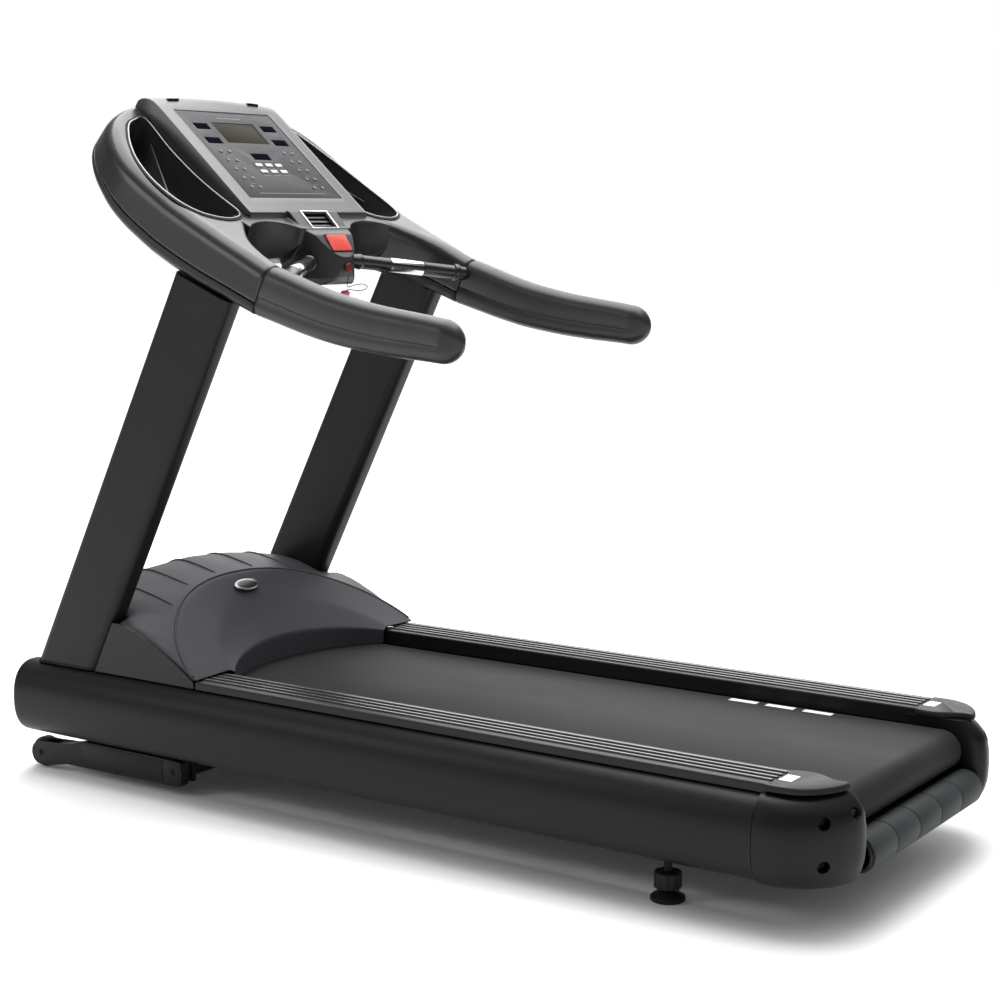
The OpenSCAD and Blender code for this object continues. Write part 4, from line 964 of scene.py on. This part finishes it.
A0, B0 = Vector((78, 388, 1252)), Vector((352, 244, 1217))
BL = (B0 - A0).length
AX = (B0 - A0).normalized()
bp = [(17, 0), (18.4, 14), (19.2, 16), (19.2, 21), (18.4, 23), (17, 25), (16.6, 60), (16.8, 96), (17.8, 98), (17.8, 100), (15.8, 100.4),
      (15.8, 189.6), (17.8, 190), (17.8, 193), (17.2, 196), (17, BL - 40), (17.4, BL - 38), (21, BL - 36), (21.4, BL - 34), (21.4, BL - 26), (21, BL - 24), (17.5, BL - 22), (17, BL - 6)]
pb = lathe("pulse_bar", bp, A0, AX, 48)
piece(both(pb, "pulse_bars_fine"), "bar", "frame", "bar_plastic", "pulse_bars")
pe = []
U = AX.orthogonal().normalized()
upv = (Vector((0, 0, 1)) - AX * AX.z).normalized()
sdv = AX.cross(upv)
for s0 in (1, -1):
    secs = []
    for h, rr in ((100.8, 15.9), (101.2, 17.6), (102.4, 18.2), (187.6, 18.2), (188.8, 17.6), (189.2, 15.9)):
        r = []
        for k in range(17):
            t = math.radians(-72 + 144 * k / 16)
            dv = upv * (s0 * math.cos(t)) + sdv * math.sin(t)
            r.append(tuple(A0 + AX * h + dv * rr))
        for k in range(16, -1, -1):
            t = math.radians(-72 + 144 * k / 16)
            dv = upv * (s0 * math.cos(t)) + sdv * math.sin(t)
            r.append(tuple(A0 + AX * h + dv * 15.4))
        secs.append(r)
    pe.append(flat_shade(loft("e", secs), 35))
piece(both(join("electrodes", pe), "electrodes_fine"), "chrome", "frame", "electrode_chrome", "pulse_electrodes")

# ------------------------------------------------------------------ uprights
LE = math.radians(27)
OB = []
for cx, cy, a0 in ((30 - 20, 88 - 24, 0), (-30 + 20, 88 - 24, 90), (-30 + 20, -88 + 24, 180), (30 - 20, -88 + 24, 270)):
    for k in range(9):
        t = math.radians(a0 + 90 * k / 8)
        OB.append((cx + 20 * math.cos(t), cy + 24 * math.sin(t)))
UP = []
for u in (0, 200, 400, 600, 800, 960, 1050):
    r = []
    for x, y in OB:
        d = u
        yy = 902 + y * math.cos(LE) - d * math.sin(LE)
        zz = 276 + y * math.sin(LE) + d * math.cos(LE)
        if u == 0:
            d = -(y * math.sin(LE)) / math.cos(LE)
            yy = 902 + y * math.cos(LE) - d * math.sin(LE)
            zz = 276.4
        if u == 1050:
            # follow the underside of the ring
            d = 0
            for d in range(860, 1150, 2):
                yy = 902 + y * math.cos(LE) - d * math.sin(LE)
                zz = 276 + y * math.sin(LE) + d * math.cos(LE)
                if zz > lookup(yy, [[260, 1132], [284, 1142], [321, 1156], [365, 1174], [408, 1191], [445, 1205], [482, 1222], [509, 1235], [526, 1243], [560, 1262], [600, 1286], [640, 1316]]):
                    break
        if u == 960:
            d = 850
            yy = 902 + y * math.cos(LE) - d * math.sin(LE)
            zz = 276 + y * math.sin(LE) + d * math.cos(LE)
        r.append((383 + x, yy, zz))
    UP.append(r)
up = flat_shade(loft("upright_skin", UP), 40)
piece(both(up, "uprights_fine"), "upright", "frame", "beam_paint", "uprights")
cl = []
for z, e in ((276.5, 3.0), (280, 3.0), (282, 1.0)):
    r = []
    for x, y in OB:
        f = 1 + e / 60
        yy = 902 - (z - 276) * math.tan(LE) + (y / math.cos(LE)) * (1 + e / 100)
        r.append((383 + x * f, yy, z))
    cl.append(r)
piece(both(flat_shade(loft("collar", cl), 30), "upright_collars"), "groove", "frame", "beam_paint")

# ------------------------------------------------------------------ side beams, caps, lids
DP = []
for i in range(0, 49):
    t = math.radians(-90 + 180 * i / 48)
    DP.append((385 + 70 * spow(math.cos(t), 1 / 1.2), 186 + 90 * spow(math.sin(t), 1 / 1.2)))
DP += [(376, 276), (372, 273), (372, 99), (376, 96)]
secs = []
for y, k in ((-985, 0.975), (-984, 1.0), (-600, 1.0), (0, 1.0), (600, 1.0), (1020, 1.0), (1034, 0.995), (1038, 0.985), (1040, 0.965)):
    secs.append([(405 + (x - 405) * k, y, 186 + (z - 186) * k) for x, z in DP])
bm_o = flat_shade(loft("beam_skin", secs), 32)
piece(both(bm_o, "side_beams_fine"), "beam", "frame", "beam_paint", "side_beams")
seam = []
for y in (-986.5, -984.2):
    seam.append([(405 + (x - 405) * 0.97, y, 186 + (z - 186) * 0.97) for x, z in DP])
piece(both(loft("beam_seam", seam), "beam_seams"), "groove", "frame", "cap_plastic")

CO = [[455, -986], [455, -1002], [454, -1024], [449, -1048], [439, -1072], [423, -1095],
      [402, -1116], [378, -1135], [353, -1149], [330, -1157], [310, -1157], [297, -1146], [291, -1125], [290, -1090]]
COR = refine(CO, 6) + [[290, -1040], [290, -986]]
CZ = [[91, 42], [93, 38], [96, 33], [99, 28], [105, 21], [112, 16], [120, 11], [130, 7], [144, 3], [158, 1], [186, 0], [200, 0.4], [214, 1], [226, 3], [238, 5],
      [248, 9], [256, 15], [264, 22], [270, 28], [276, 35], [281, 42]]


def cap_e(z):
    d = min(1.0, abs(z - 186) / 95)
    return 66 * (1 - (1 - d ** 2.4) ** (1 / 2.4))


secs = []
for z, iy in CZ:
    e = cap_e(z)
    secs.append([(290 + (p[0] - 290) * (1 - e / 165), -986 + (p[1] + 986) * (1 - iy / 172), z) for p in COR])
cap = loft("cap_skin", secs)
for z in (148, 232):
    ax = Vector((math.cos(math.radians(-48)), math.sin(math.radians(-48)), 0))
    o = Vector((392, -1102, z)) - ax * 9
    boolean(cap, lathe("cut", [(0, 0), (11.5, 0), (12.5, 4), (13.4, 60), (0, 60)], o, ax, 40))
boolean(cap, lathe("cut", [(0, 0), (11.5, 0), (12.5, 60), (0, 60)], (336, -1137, 243), (0, -1, 0), 40))
flat_shade(cap, 38)
piece(both(cap, "end_caps_fine"), "cap", "frame", "cap_plastic", "end_caps")
scr = []
for z in (148, 232):
    o = Vector((392, -1102, z)) - ax * 9.5
    scr.append(lathe("s", [(0, 2.2), (3.4, 2.2), (3.6, 5.4), (6.4, 5.2), (7.4, 4.0), (7.6, 0)], o, ax, 24))
scr.append(lathe("s", [(0, 2.2), (3.4, 2.2), (3.6, 5.4), (6.4, 5.2), (7.4, 4.0), (7.6, 0)], (336, -1136.5, 244), (0, -1, 0), 24))
piece(both(join("recess_screws", scr), "recess_screws_fine"), "rubber", "frame", "zinc_steel", "cap_screws")
LO = [[299, -994], [420, -994], [420, -1026], [415, -1052], [403, -1076], [385, -1095], [360, -1112], [338, -1121],
      [322, -1125], [312, -1123], [313, -1108], [309, -1090], [299, -1072], [290, -1052], [287, -1030], [290, -1008]]
LOR = [LO[0], LO[1]] + refine(LO[1:], 5)[1:] + [[293, -999]]
secs = []
for z, k in ((281.4, 0.965), (282.2, 0.99), (284, 1.0), (290, 0.99), (292.8, 0.975), (294.2, 0.95)):
    secs.append([(352 + (p[0] - 352) * k, -994 + (p[1] + 994) * k, z) for p in LOR])
lid = flat_shade(loft("lid_skin", secs), 34)
piece(both(lid, "cap_lids_fine"), "lid", "frame", "lid_plastic", "cap_lids")
lb = box("sticker", 332, 374, -1028, -1001, 293.2, 294.5)
piece(both(lb, "plain_labels"), "sticker", "frame", "lid_plastic")

# ------------------------------------------------------------------ foot rails
RX = [(300, 258), (304, 258), (304, 276.2), (413, 276.2), (413, 290.8), (411.5, 293.2), (408, 294)]
for xc in (385, 364, 343, 322):
    RX += [(xc + 5.5, 294.0), (xc + 4.4, 296.2), (xc + 3.2, 297.0), (xc - 3.2, 297.0), (xc - 4.4, 296.2), (xc - 5.5, 294.0)]
RX += [(306, 294), (301.5, 293.2), (300, 290.8)]
secs = []
for y, dz in ((-994, 0), (-500, 0), (0, 0), (470, 0)):
    secs.append([(x, y, z) for x, z in RX])
ra = flat_shade(loft("rail_skin", secs), 25)
piece(both(ra, "foot_rails_fine"), "rail", "frame", "rail_aluminium", "foot_rails")
# painted highlight: bright brushed-metal strips along the crest of each rail ridge stand in for the highlights on the
# crests
rb = []
for xc in (385, 364, 343, 322):
    rb.append(box("r", xc - 1.5, xc + 1.5, -993.8, 469, 296.9, 297.2))
piece(both(join("ridge_painted_highlights", rb), "ridge_top_painted_highlights"), "rail_painted_highlight", "frame", "rail_aluminium")
# painted shade: near-black strips over the outer and inner side faces of each rail stand in for the shade on the rail
# sides
rd = [box("r", 412.6, 413.5, -993, 466, 277, 289), box("r", 299.4, 300.4, -993, 462, 262, 290)]
piece(both(join("rail_sides_painted_shade", rd), "rail_side_painted_shade_strips"), "painted_shade_dark", "frame", "rail_aluminium")

# ------------------------------------------------------------------ belt
bs = []
R = 43.4
prof = []
for k in range(25):
    t = math.radians(90 + 180 * k / 24)
    prof.append((-1070 + R * math.cos(t), 217 + R * math.sin(t)))
for k in range(25):
    t = math.radians(270 + 180 * k / 24)
    prof.append((760 + R * math.cos(t), 217 + R * math.sin(t)))
inner = []
R2 = 40.5
for k in range(25):
    t = math.radians(90 + 180 * k / 24)
    inner.append((-1070 + R2 * math.cos(t), 217 + R2 * math.sin(t)))
for k in range(25):
    t = math.radians(270 + 180 * k / 24)
    inner.append((760 + R2 * math.cos(t), 217 + R2 * math.sin(t)))
m = len(prof)
verts = []
for x in (-280, -279.2, 279.2, 280):
    e = 0.5 if abs(x) == 280 else 0.0
    for (y, z), (yi, zi) in zip(prof, inner):
        f = e / 3.0
        verts.append((x, y + (yi - y) * f, z + (zi - z) * f))
for x in (280, -280):
    for y, z in inner:
        verts.append((x, y, z))
faces = []
for a in range(3):
    for j in range(m):
        k = (j + 1) % m
        faces.append((a * m + j, a * m + k, (a + 1) * m + k, (a + 1) * m + j))
for a, b in ((3, 4), (4, 5), (5, 0)):
    for j in range(m):
        k = (j + 1) % m
        faces.append((a * m + j, a * m + k, b * m + k, b * m + j))
belt = flat_shade(obj_from("belt_skin", verts, faces), 40)
piece(belt, "belt", "frame", "belt_rubber", "running_belt")
# generic printed dashes near the far edge of the belt
mk = []
for a0, a1, b0, b1 in ((-562, -632, -562, -632), (-655, -725, -655, -725), (-748, -818, -748, -818)):
    v = [(272, a0, 260.55), (272, a1, 260.55), (252, b1, 260.55), (252, b0, 260.55)]
    v2 = [(a, b, 260.1) for a, b, c in v]
    mk.append(obj_from("mk", v + v2, [(0, 1, 2, 3), (7, 6, 5, 4), (0, 4, 5, 1), (1, 5, 6, 2), (2, 6, 7, 3), (3, 7, 4, 0)], False))
piece(join("belt_dashes", mk), "mark", "frame", "belt_rubber")

# ------------------------------------------------------------------ rear guard
sl = []
for i in range(5):
    x0 = -279 + 112 * i
    sl.append(lathe("s", [(34.3, 0.5), (36.5, 0.2), (38.3, 1.2), (39, 3.4), (39, 106.6), (38.3, 108.8), (36.5, 109.8), (34.3, 109.5)], (x0, -1125, 143), (1, 0, 0), 48))
piece(join("guard_sleeves_fine", sl), "sleeve", "frame", "sleeve_foam", "guard_sleeves")
repaint("guard_tube", "frame")
# painted shade: a dark made-up pan between the beams under the rear of the belt stands in for the shade there
piece(bevel(box("painted_shade_rear_pan", -286, 286, -1098, -1012, 160, 171), 2.0, 2), "painted_shade_dark", "frame", "powder_coat")

# ------------------------------------------------------------------ motor hood
SX = [[0, 407], [25, 407], [35, 406], [40, 400], [48, 351], [56, 350], [62, 338], [68, 296], [74, 226], [80, 142], [90, 0]]
SY = [[0, 484], [10, 545], [20, 610], [30, 670], [40, 716], [48, 732], [56, 800], [62, 852], [68, 874], [80, 876], [90, 873]]
SZ = [[0, 294], [10, 334], [20, 370], [30, 394], [40, 404], [48, 411], [56, 436], [62, 448], [68, 457], [74, 469], [80, 481], [90, 490]]
BY = [[0, 494], [10, 560], [20, 620], [30, 680], [40, 728], [48, 745], [56, 860], [62, 960], [68, 1000], [74, 1010], [90, 1013]]


def hood_row(k, td):
    t = math.radians(td)
    u = 180 - td if td > 90 else td
    f = 1 if td > 90 else -1
    c, s = math.cos(t), max(0.0, math.sin(t))
    if k == 0:
        return (-285 * c, 463 + 97 * s ** 1.7, 262)
    if k == 1:
        return (-286 * c, 461 + 102 * s ** 1.8, 296 + 25 * s ** 1.8)
    if k == 2:
        return (-295 * spow(c, 0.93), 463 + 174 * s ** 1.72, 300 + 95 * s ** 1.72)
    if k == 3:
        return (-303 * spow(c, 0.93), 464 + 190 * s ** 1.68, 303 + 108 * s ** 1.68)
    if k == 4:
        return (-414 * spow(c, 0.91), 466 + 250 * s ** 1.29, 299 + 164 * s ** 1.29)
    if k == 5:
        m = 0.1
        cu = max(0.0, math.cos(math.radians(u)))
        return (f * ((1 - m) * 414 * cu ** 0.91 + m * lookup(u, SX)), (1 - m) * (472 + 254 * s ** 1.29) + m * lookup(u, SY),
                (1 - m) * (298 + 168 * s ** 1.29) + m * lookup(u, SZ))
    if k == 6:
        return (f * lookup(u, SX), lookup(u, SY), lookup(u, SZ))
    if k == 7:
        m = 0.45
        su = math.sin(math.radians(u))
        return (f * lookup(u, SX), (1 - m) * lookup(u, SY) + m * lookup(u, BY) + 18 * su ** 4, (1 - m) * lookup(u, SZ) + m * 278 + 30 * su ** 4)
    return (f * lookup(u, SX), lookup(u, BY), 277)


def hoodpt(v, td):
    """Surface point: v runs 0..8 across the rows."""
    k = min(7, int(v))
    f = v - k
    a, b = hood_row(k, td), hood_row(k + 1, td)
    if 5 <= k <= 7:
        z0, z3 = hood_row(max(5, k - 1), td), hood_row(min(8, k + 2), td)
        return tuple(crom(z0[i], a[i], b[i], z3[i], f) for i in range(3))
    p = [a[i] + f * (b[i] - a[i]) for i in range(3)]
    return tuple(p)


VS = [0, 0.5, 0.93, 1.0, 1.04, 1.25, 1.5, 1.75, 1.93, 2.0, 2.5, 3.0, 3.06, 3.2, 3.4, 3.6, 3.8, 3.93, 4.0, 4.5, 5.0, 5.15, 5.3, 5.5, 5.7, 5.85, 6.0, 6.15, 6.3, 6.5, 6.7, 6.85, 7.0, 7.3, 7.6, 8.0]
TD = [i * 1.5 for i in range(121)]
hrows = [[hoodpt(v, t) for t in TD] for v in VS]
nh = len(TD)
verts = [p for r in hrows for p in r]
faces = [(i * nh + j, i * nh + j + 1, (i + 1) * nh + j + 1, (i + 1) * nh + j) for i in range(len(VS) - 1) for j in range(nh - 1)]
hood = obj_from("hood_skin", verts, faces)
bmh = bmesh.new()
bmh.from_mesh(hood.data)
bmesh.ops.smooth_vert(bmh, verts=[v for v in bmh.verts if not v.is_boundary], factor=0.5, use_axis_x=True, use_axis_y=True, use_axis_z=True)
bmesh.ops.recalc_face_normals(bmh, faces=bmh.faces)
bmh.to_mesh(hood.data)
bmh.free()
if hood.data.polygons[len(hood.data.polygons) // 2].normal.z < 0:
    hood.data.flip_normals()
s = hood.modifiers.new("s", "SOLIDIFY")
s.thickness = 0.0035
s.offset = -1.0
apply_mods(hood)
flat_shade(hood, 48)
piece(hood, "hood", "frame", "hood_plastic", "motor_hood")


def t_at_x(v, x):
    lo, hi = 0.0, 180.0
    for _ in range(40):
        mid = (lo + hi) / 2
        if hoodpt(v, mid)[0] < x:
            lo = mid
        else:
            hi = mid
    return (lo + hi) / 2


ribs = []
for x in (-264, -158, -43, 93, 230):
    P = []
    for v in (5.02, 5.1, 5.2, 5.3, 5.4, 5.5, 5.6, 5.7, 5.8, 5.9, 6.0, 6.1, 6.2, 6.35, 6.5):
        P.append(hoodpt(v, t_at_x(v, x)))
    P = [(p[0], p[1], p[2] + 0.6) for p in P]
    ribs.append(tube("rib", P, 2.4, 8, rs=[0.8, 1.8] + [2.4] * (len(P) - 2)))
    ribs[-1].data.materials.append(M["hood"])
piece(join("hood_ribs", ribs), "hood", "frame", "hood_plastic")
rg = []
for side in (1,):
    P = [hoodpt(4.25, t) for t in range(4, 177, 2)]
    P = [(p[0], p[1], p[2] + 0.4) for p in P]
    rg.append(tube("ridge", P, 3.2, 8))
piece(join("hood_ridge", rg), "hood", "frame", "hood_plastic")
repaint("hood_panels", "panel")
bd = lathe("badge", [(0, 5.4), (30, 5.2), (38.5, 4.6), (40, 3.4), (42, 3.2), (42, 0), (0, -1)], (0, 0, 0), (0, 0, 1), 64)
for v in bd.data.vertices:
    x, y, z = v.co.x, v.co.y - YS * MM, v.co.z
    y *= 0.47
    a = math.radians(32)
    v.co = Vector((x, (676 + YS) * MM + y * math.cos(a) - z * math.sin(a), 436 * MM + y * math.sin(a) + z * math.cos(a)))
piece(bd, "badge", "frame", "badge_chrome", "hood_badge")
bi = lathe("badge_in", [(0, 6.6), (24, 6.3), (33, 5.6), (35, 4.4), (0, 4)], (0, 0, 0), (0, 0, 1), 64)
for v in bi.data.vertices:
    x, y, z = v.co.x, v.co.y - YS * MM, v.co.z
    y *= 0.44
    a = math.radians(32)
    v.co = Vector((x, (676 + YS) * MM + y * math.cos(a) - z * math.sin(a), 436 * MM + y * math.sin(a) + z * math.cos(a)))
piece(bi, "badge_dark", "frame", "badge_chrome")

# ------------------------------------------------------------------ the rest keep their CAD shape
for n_, k_ in (("base_frame", "frame"), ("front_cover", "cap"), ("deck", "wood"), ("deck_cushions", "rubber"), ("front_roller", "steel"),
               ("rear_roller", "steel"), ("roller_axles", "zinc"), ("roller_pulley", "steel"), ("drive_belt", "rubber"), ("drive_motor", "motor"),
               ("motor_rotor", "steel"), ("control_box", "control"), ("power_inlet", "rubber"), ("power_switch", "switch"), ("fan_wheel", "louver"),
               ("lift_frame", "lift"), ("lift_motor", "motor"), ("lift_rod", "zinc")):
    repaint(n_, k_)
lp_ = []
for sx in (1, -1):
    e_ = prism_x("e", sx * 368, sx * 394.6, [(541, 30), (545, 26), (600, 26), (600, 86.5), (545, 86.5), (541, 82)])
    lp_.append(bevel(e_, 1.5, 2))
    lp_.append(bevel(box("w", min(sx * 350, sx * 366), max(sx * 350, sx * 366), 548, 592, 60, 100), 1.5, 2))
    lp_.append(lathe("b", [(0, 5.2), (4.2, 5.0), (4.6, 3.2), (8.4, 3.0), (9.0, 2.2), (9.0, 0)], (sx * 394.4, 570, 56), (sx, 0, 0), 6))
    lp_.append(lathe("b", [(0, 4.2), (3.6, 4.0), (4.0, 2.4), (7.4, 2.2), (8.0, 1.4), (8.0, 0)], (sx * 394.2, 1018, 37), (sx, 0, 0), 24))
    lp_.append(bevel(prism_x("r", sx * 393.8, sx * 395.2, [(872, 84), (860, 26), (600, 30), (600, 82)]), 0.6, 2))
piece(join("lift_arm_plates", lp_), "lift", "lift_frame", "powder_coat")
for sx, nm in ((1, "wheel_right"), (-1, "wheel_left")):
    pr_ = [(6, -24), (6, -16.6), (10, -16.4), (10, -14.7), (26, -14.7), (28, -12.5), (30, -14.2), (34.5, -14), (36.4, -12), (37, -9), (37, 9), (36.4, 12),
           (34.5, 14), (30, 14.2), (28, 12.5), (26, 14.7), (10, 14.7), (10, 16.4), (6, 16.6), (6, 27), (0, 27.2)]
    wh = lathe(nm + "_tyre", pr_, (sx * 369, 1018, 37), (sx, 0, 0), 64)
    piece(wh, "rubber", nm, "wheel_rubber", nm)
for sx, nm in ((1, "foot_right"), (-1, "foot_left")):
    ft = lathe(nm + "_pad", [(0, 0), (33, 0), (35.4, 1.2), (36, 4), (35.6, 8.5), (31, 12.5), (20, 17), (13, 19.5), (8, 21), (8, 128), (0, 128)],
               (sx * 355, -752, 0), (0, 0, 1), 64)
    kb = []
    for z, r0 in ((26, 26.5), (28, 28.5), (58, 28.5), (60, 26.5)):
        r = []
        for k in range(80):
            t = 2 * math.pi * k / 80
            rr = r0 - 2.6 * (0.5 + 0.5 * math.cos(10 * t)) ** 3
            r.append((sx * 355 + rr * math.cos(t), -752 + rr * math.sin(t), z))
        kb.append(r)
    kn = flat_shade(loft("kn", kb), 30)
    th = []
    for k in range(20):
        th.append(lathe("th", [(7.9, 0), (8.4, 0.9), (7.9, 1.8)], (sx * 355, -752, 62 + k * 1.9), (0, 0, 1), 24))
    piece(join(nm + "_fine", [ft, kn] + th), "rubber", nm, "foot_rubber", nm)

# ------------------------------------------------------------------ stage and light
fl = bpy.data.meshes.new("floor")
fl.from_pydata([(-30, -30, 0), (30, -30, 0), (30, 30, 0), (-30, 30, 0)], [], [(0, 1, 2, 3)])
floor = bpy.data.objects.new("floor", fl)
bpy.context.scene.collection.objects.link(floor)
mf, nt, b = nodes_of("floor_paint_and_painted_glow")
b.inputs["Base Color"].default_value = (0.93, 0.93, 0.93, 1)
b.inputs["Roughness"].default_value = 0.85
b.inputs["Specular IOR Level"].default_value = 0.05
# painted light: the floor glows, 0.02 within 0.9 m of the centre rising to 0.40 at 3.2 m and beyond; the weak glow
# close in paints a dark shadow around the machine and the strong glow further out paints the far floor brighter
b.inputs["Emission Color"].default_value = (1, 1, 1, 1)
tf = nt.nodes.new("ShaderNodeTexCoord")
gf = nt.nodes.new("ShaderNodeVectorMath")
gf.operation = "LENGTH"
nt.links.new(tf.outputs["Object"], gf.inputs[0])
nt.links.new(maprange(nt, gf.outputs["Value"], 0.9, 3.2, 0.02, 0.40), b.inputs["Emission Strength"])
fl.materials.append(mf)
wd = bpy.data.worlds.new("studio")
bpy.context.scene.world = wd
wd.use_nodes = True
wn_ = wd.node_tree
bg = wn_.nodes["Background"]
tcw = wn_.nodes.new("ShaderNodeTexCoord")
sep = wn_.nodes.new("ShaderNodeSeparateXYZ")
wn_.links.new(tcw.outputs["Generated"], sep.inputs["Vector"])


def wmath(op, a, b_):
    m_ = wn_.nodes.new("ShaderNodeMath")
    m_.operation = op
    for i_, v_ in enumerate((a, b_)):
        if isinstance(v_, (int, float)):
            m_.inputs[i_].default_value = v_
        else:
            wn_.links.new(v_, m_.inputs[i_])
    return m_.outputs[0]


# a dim room, one large soft panel low behind the far side, and a soft bright ceiling
def lobe(axis, c0, c1, gain):
    d_ = wmath("ADD", wmath("ADD", wmath("MULTIPLY", sep.outputs["X"], axis[0]), wmath("MULTIPLY", sep.outputs["Y"], axis[1])),
               wmath("MULTIPLY", sep.outputs["Z"], axis[2]))
    r_ = wn_.nodes.new("ShaderNodeMapRange")
    r_.interpolation_type = "SMOOTHSTEP"
    for k_, v_ in (("From Min", c0), ("From Max", c1), ("To Min", 0.0), ("To Max", gain)):
        r_.inputs[k_].default_value = v_
    wn_.links.new(d_, r_.inputs["Value"])
    return r_.outputs["Result"]


env = wmath("ADD", wmath("ADD", lobe((0.84, 0.392, 0.375), 0.90, 0.98, 2.3), lobe((0.84, 0.392, 0.375), 0.70, 0.95, 0.45)),
            wmath("ADD", lobe((0.0, 0.0, 1.0), 0.55, 1.0, 1.1), 0.20))
lp = wn_.nodes.new("ShaderNodeLightPath")
mixw = wn_.nodes.new("ShaderNodeMix")
mixw.data_type = "FLOAT"
wn_.links.new(lp.outputs["Is Camera Ray"], mixw.inputs["Factor"])
wn_.links.new(env, mixw.inputs["A"])
mixw.inputs["B"].default_value = 1.0
bg.inputs[0].default_value = (1, 1, 1, 1)
wn_.links.new(mixw.outputs["Result"], bg.inputs[1])
bpy.context.scene.view_settings.view_transform = "Standard"
bpy.context.scene.view_settings.look = "None"


def area(name, loc, target, size, power, sy=None):
    d = bpy.data.lights.new(name, "AREA")
    d.shape = "RECTANGLE"
    d.size = size
    d.size_y = sy or size
    d.energy = power
    o = bpy.data.objects.new(name, d)
    bpy.context.scene.collection.objects.link(o)
    o.location = loc
    o.rotation_euler = (Vector(target) - Vector(loc)).to_track_quat("-Z", "Y").to_euler()
    return o


area("top_light", (0.8, 0.4, 4.6), (0, 0, 0.2), 4.5, 300)
area("left_light", (-3.6, 2.8, 2.4), (0, 0.3, 0.9), 1.6, 30)
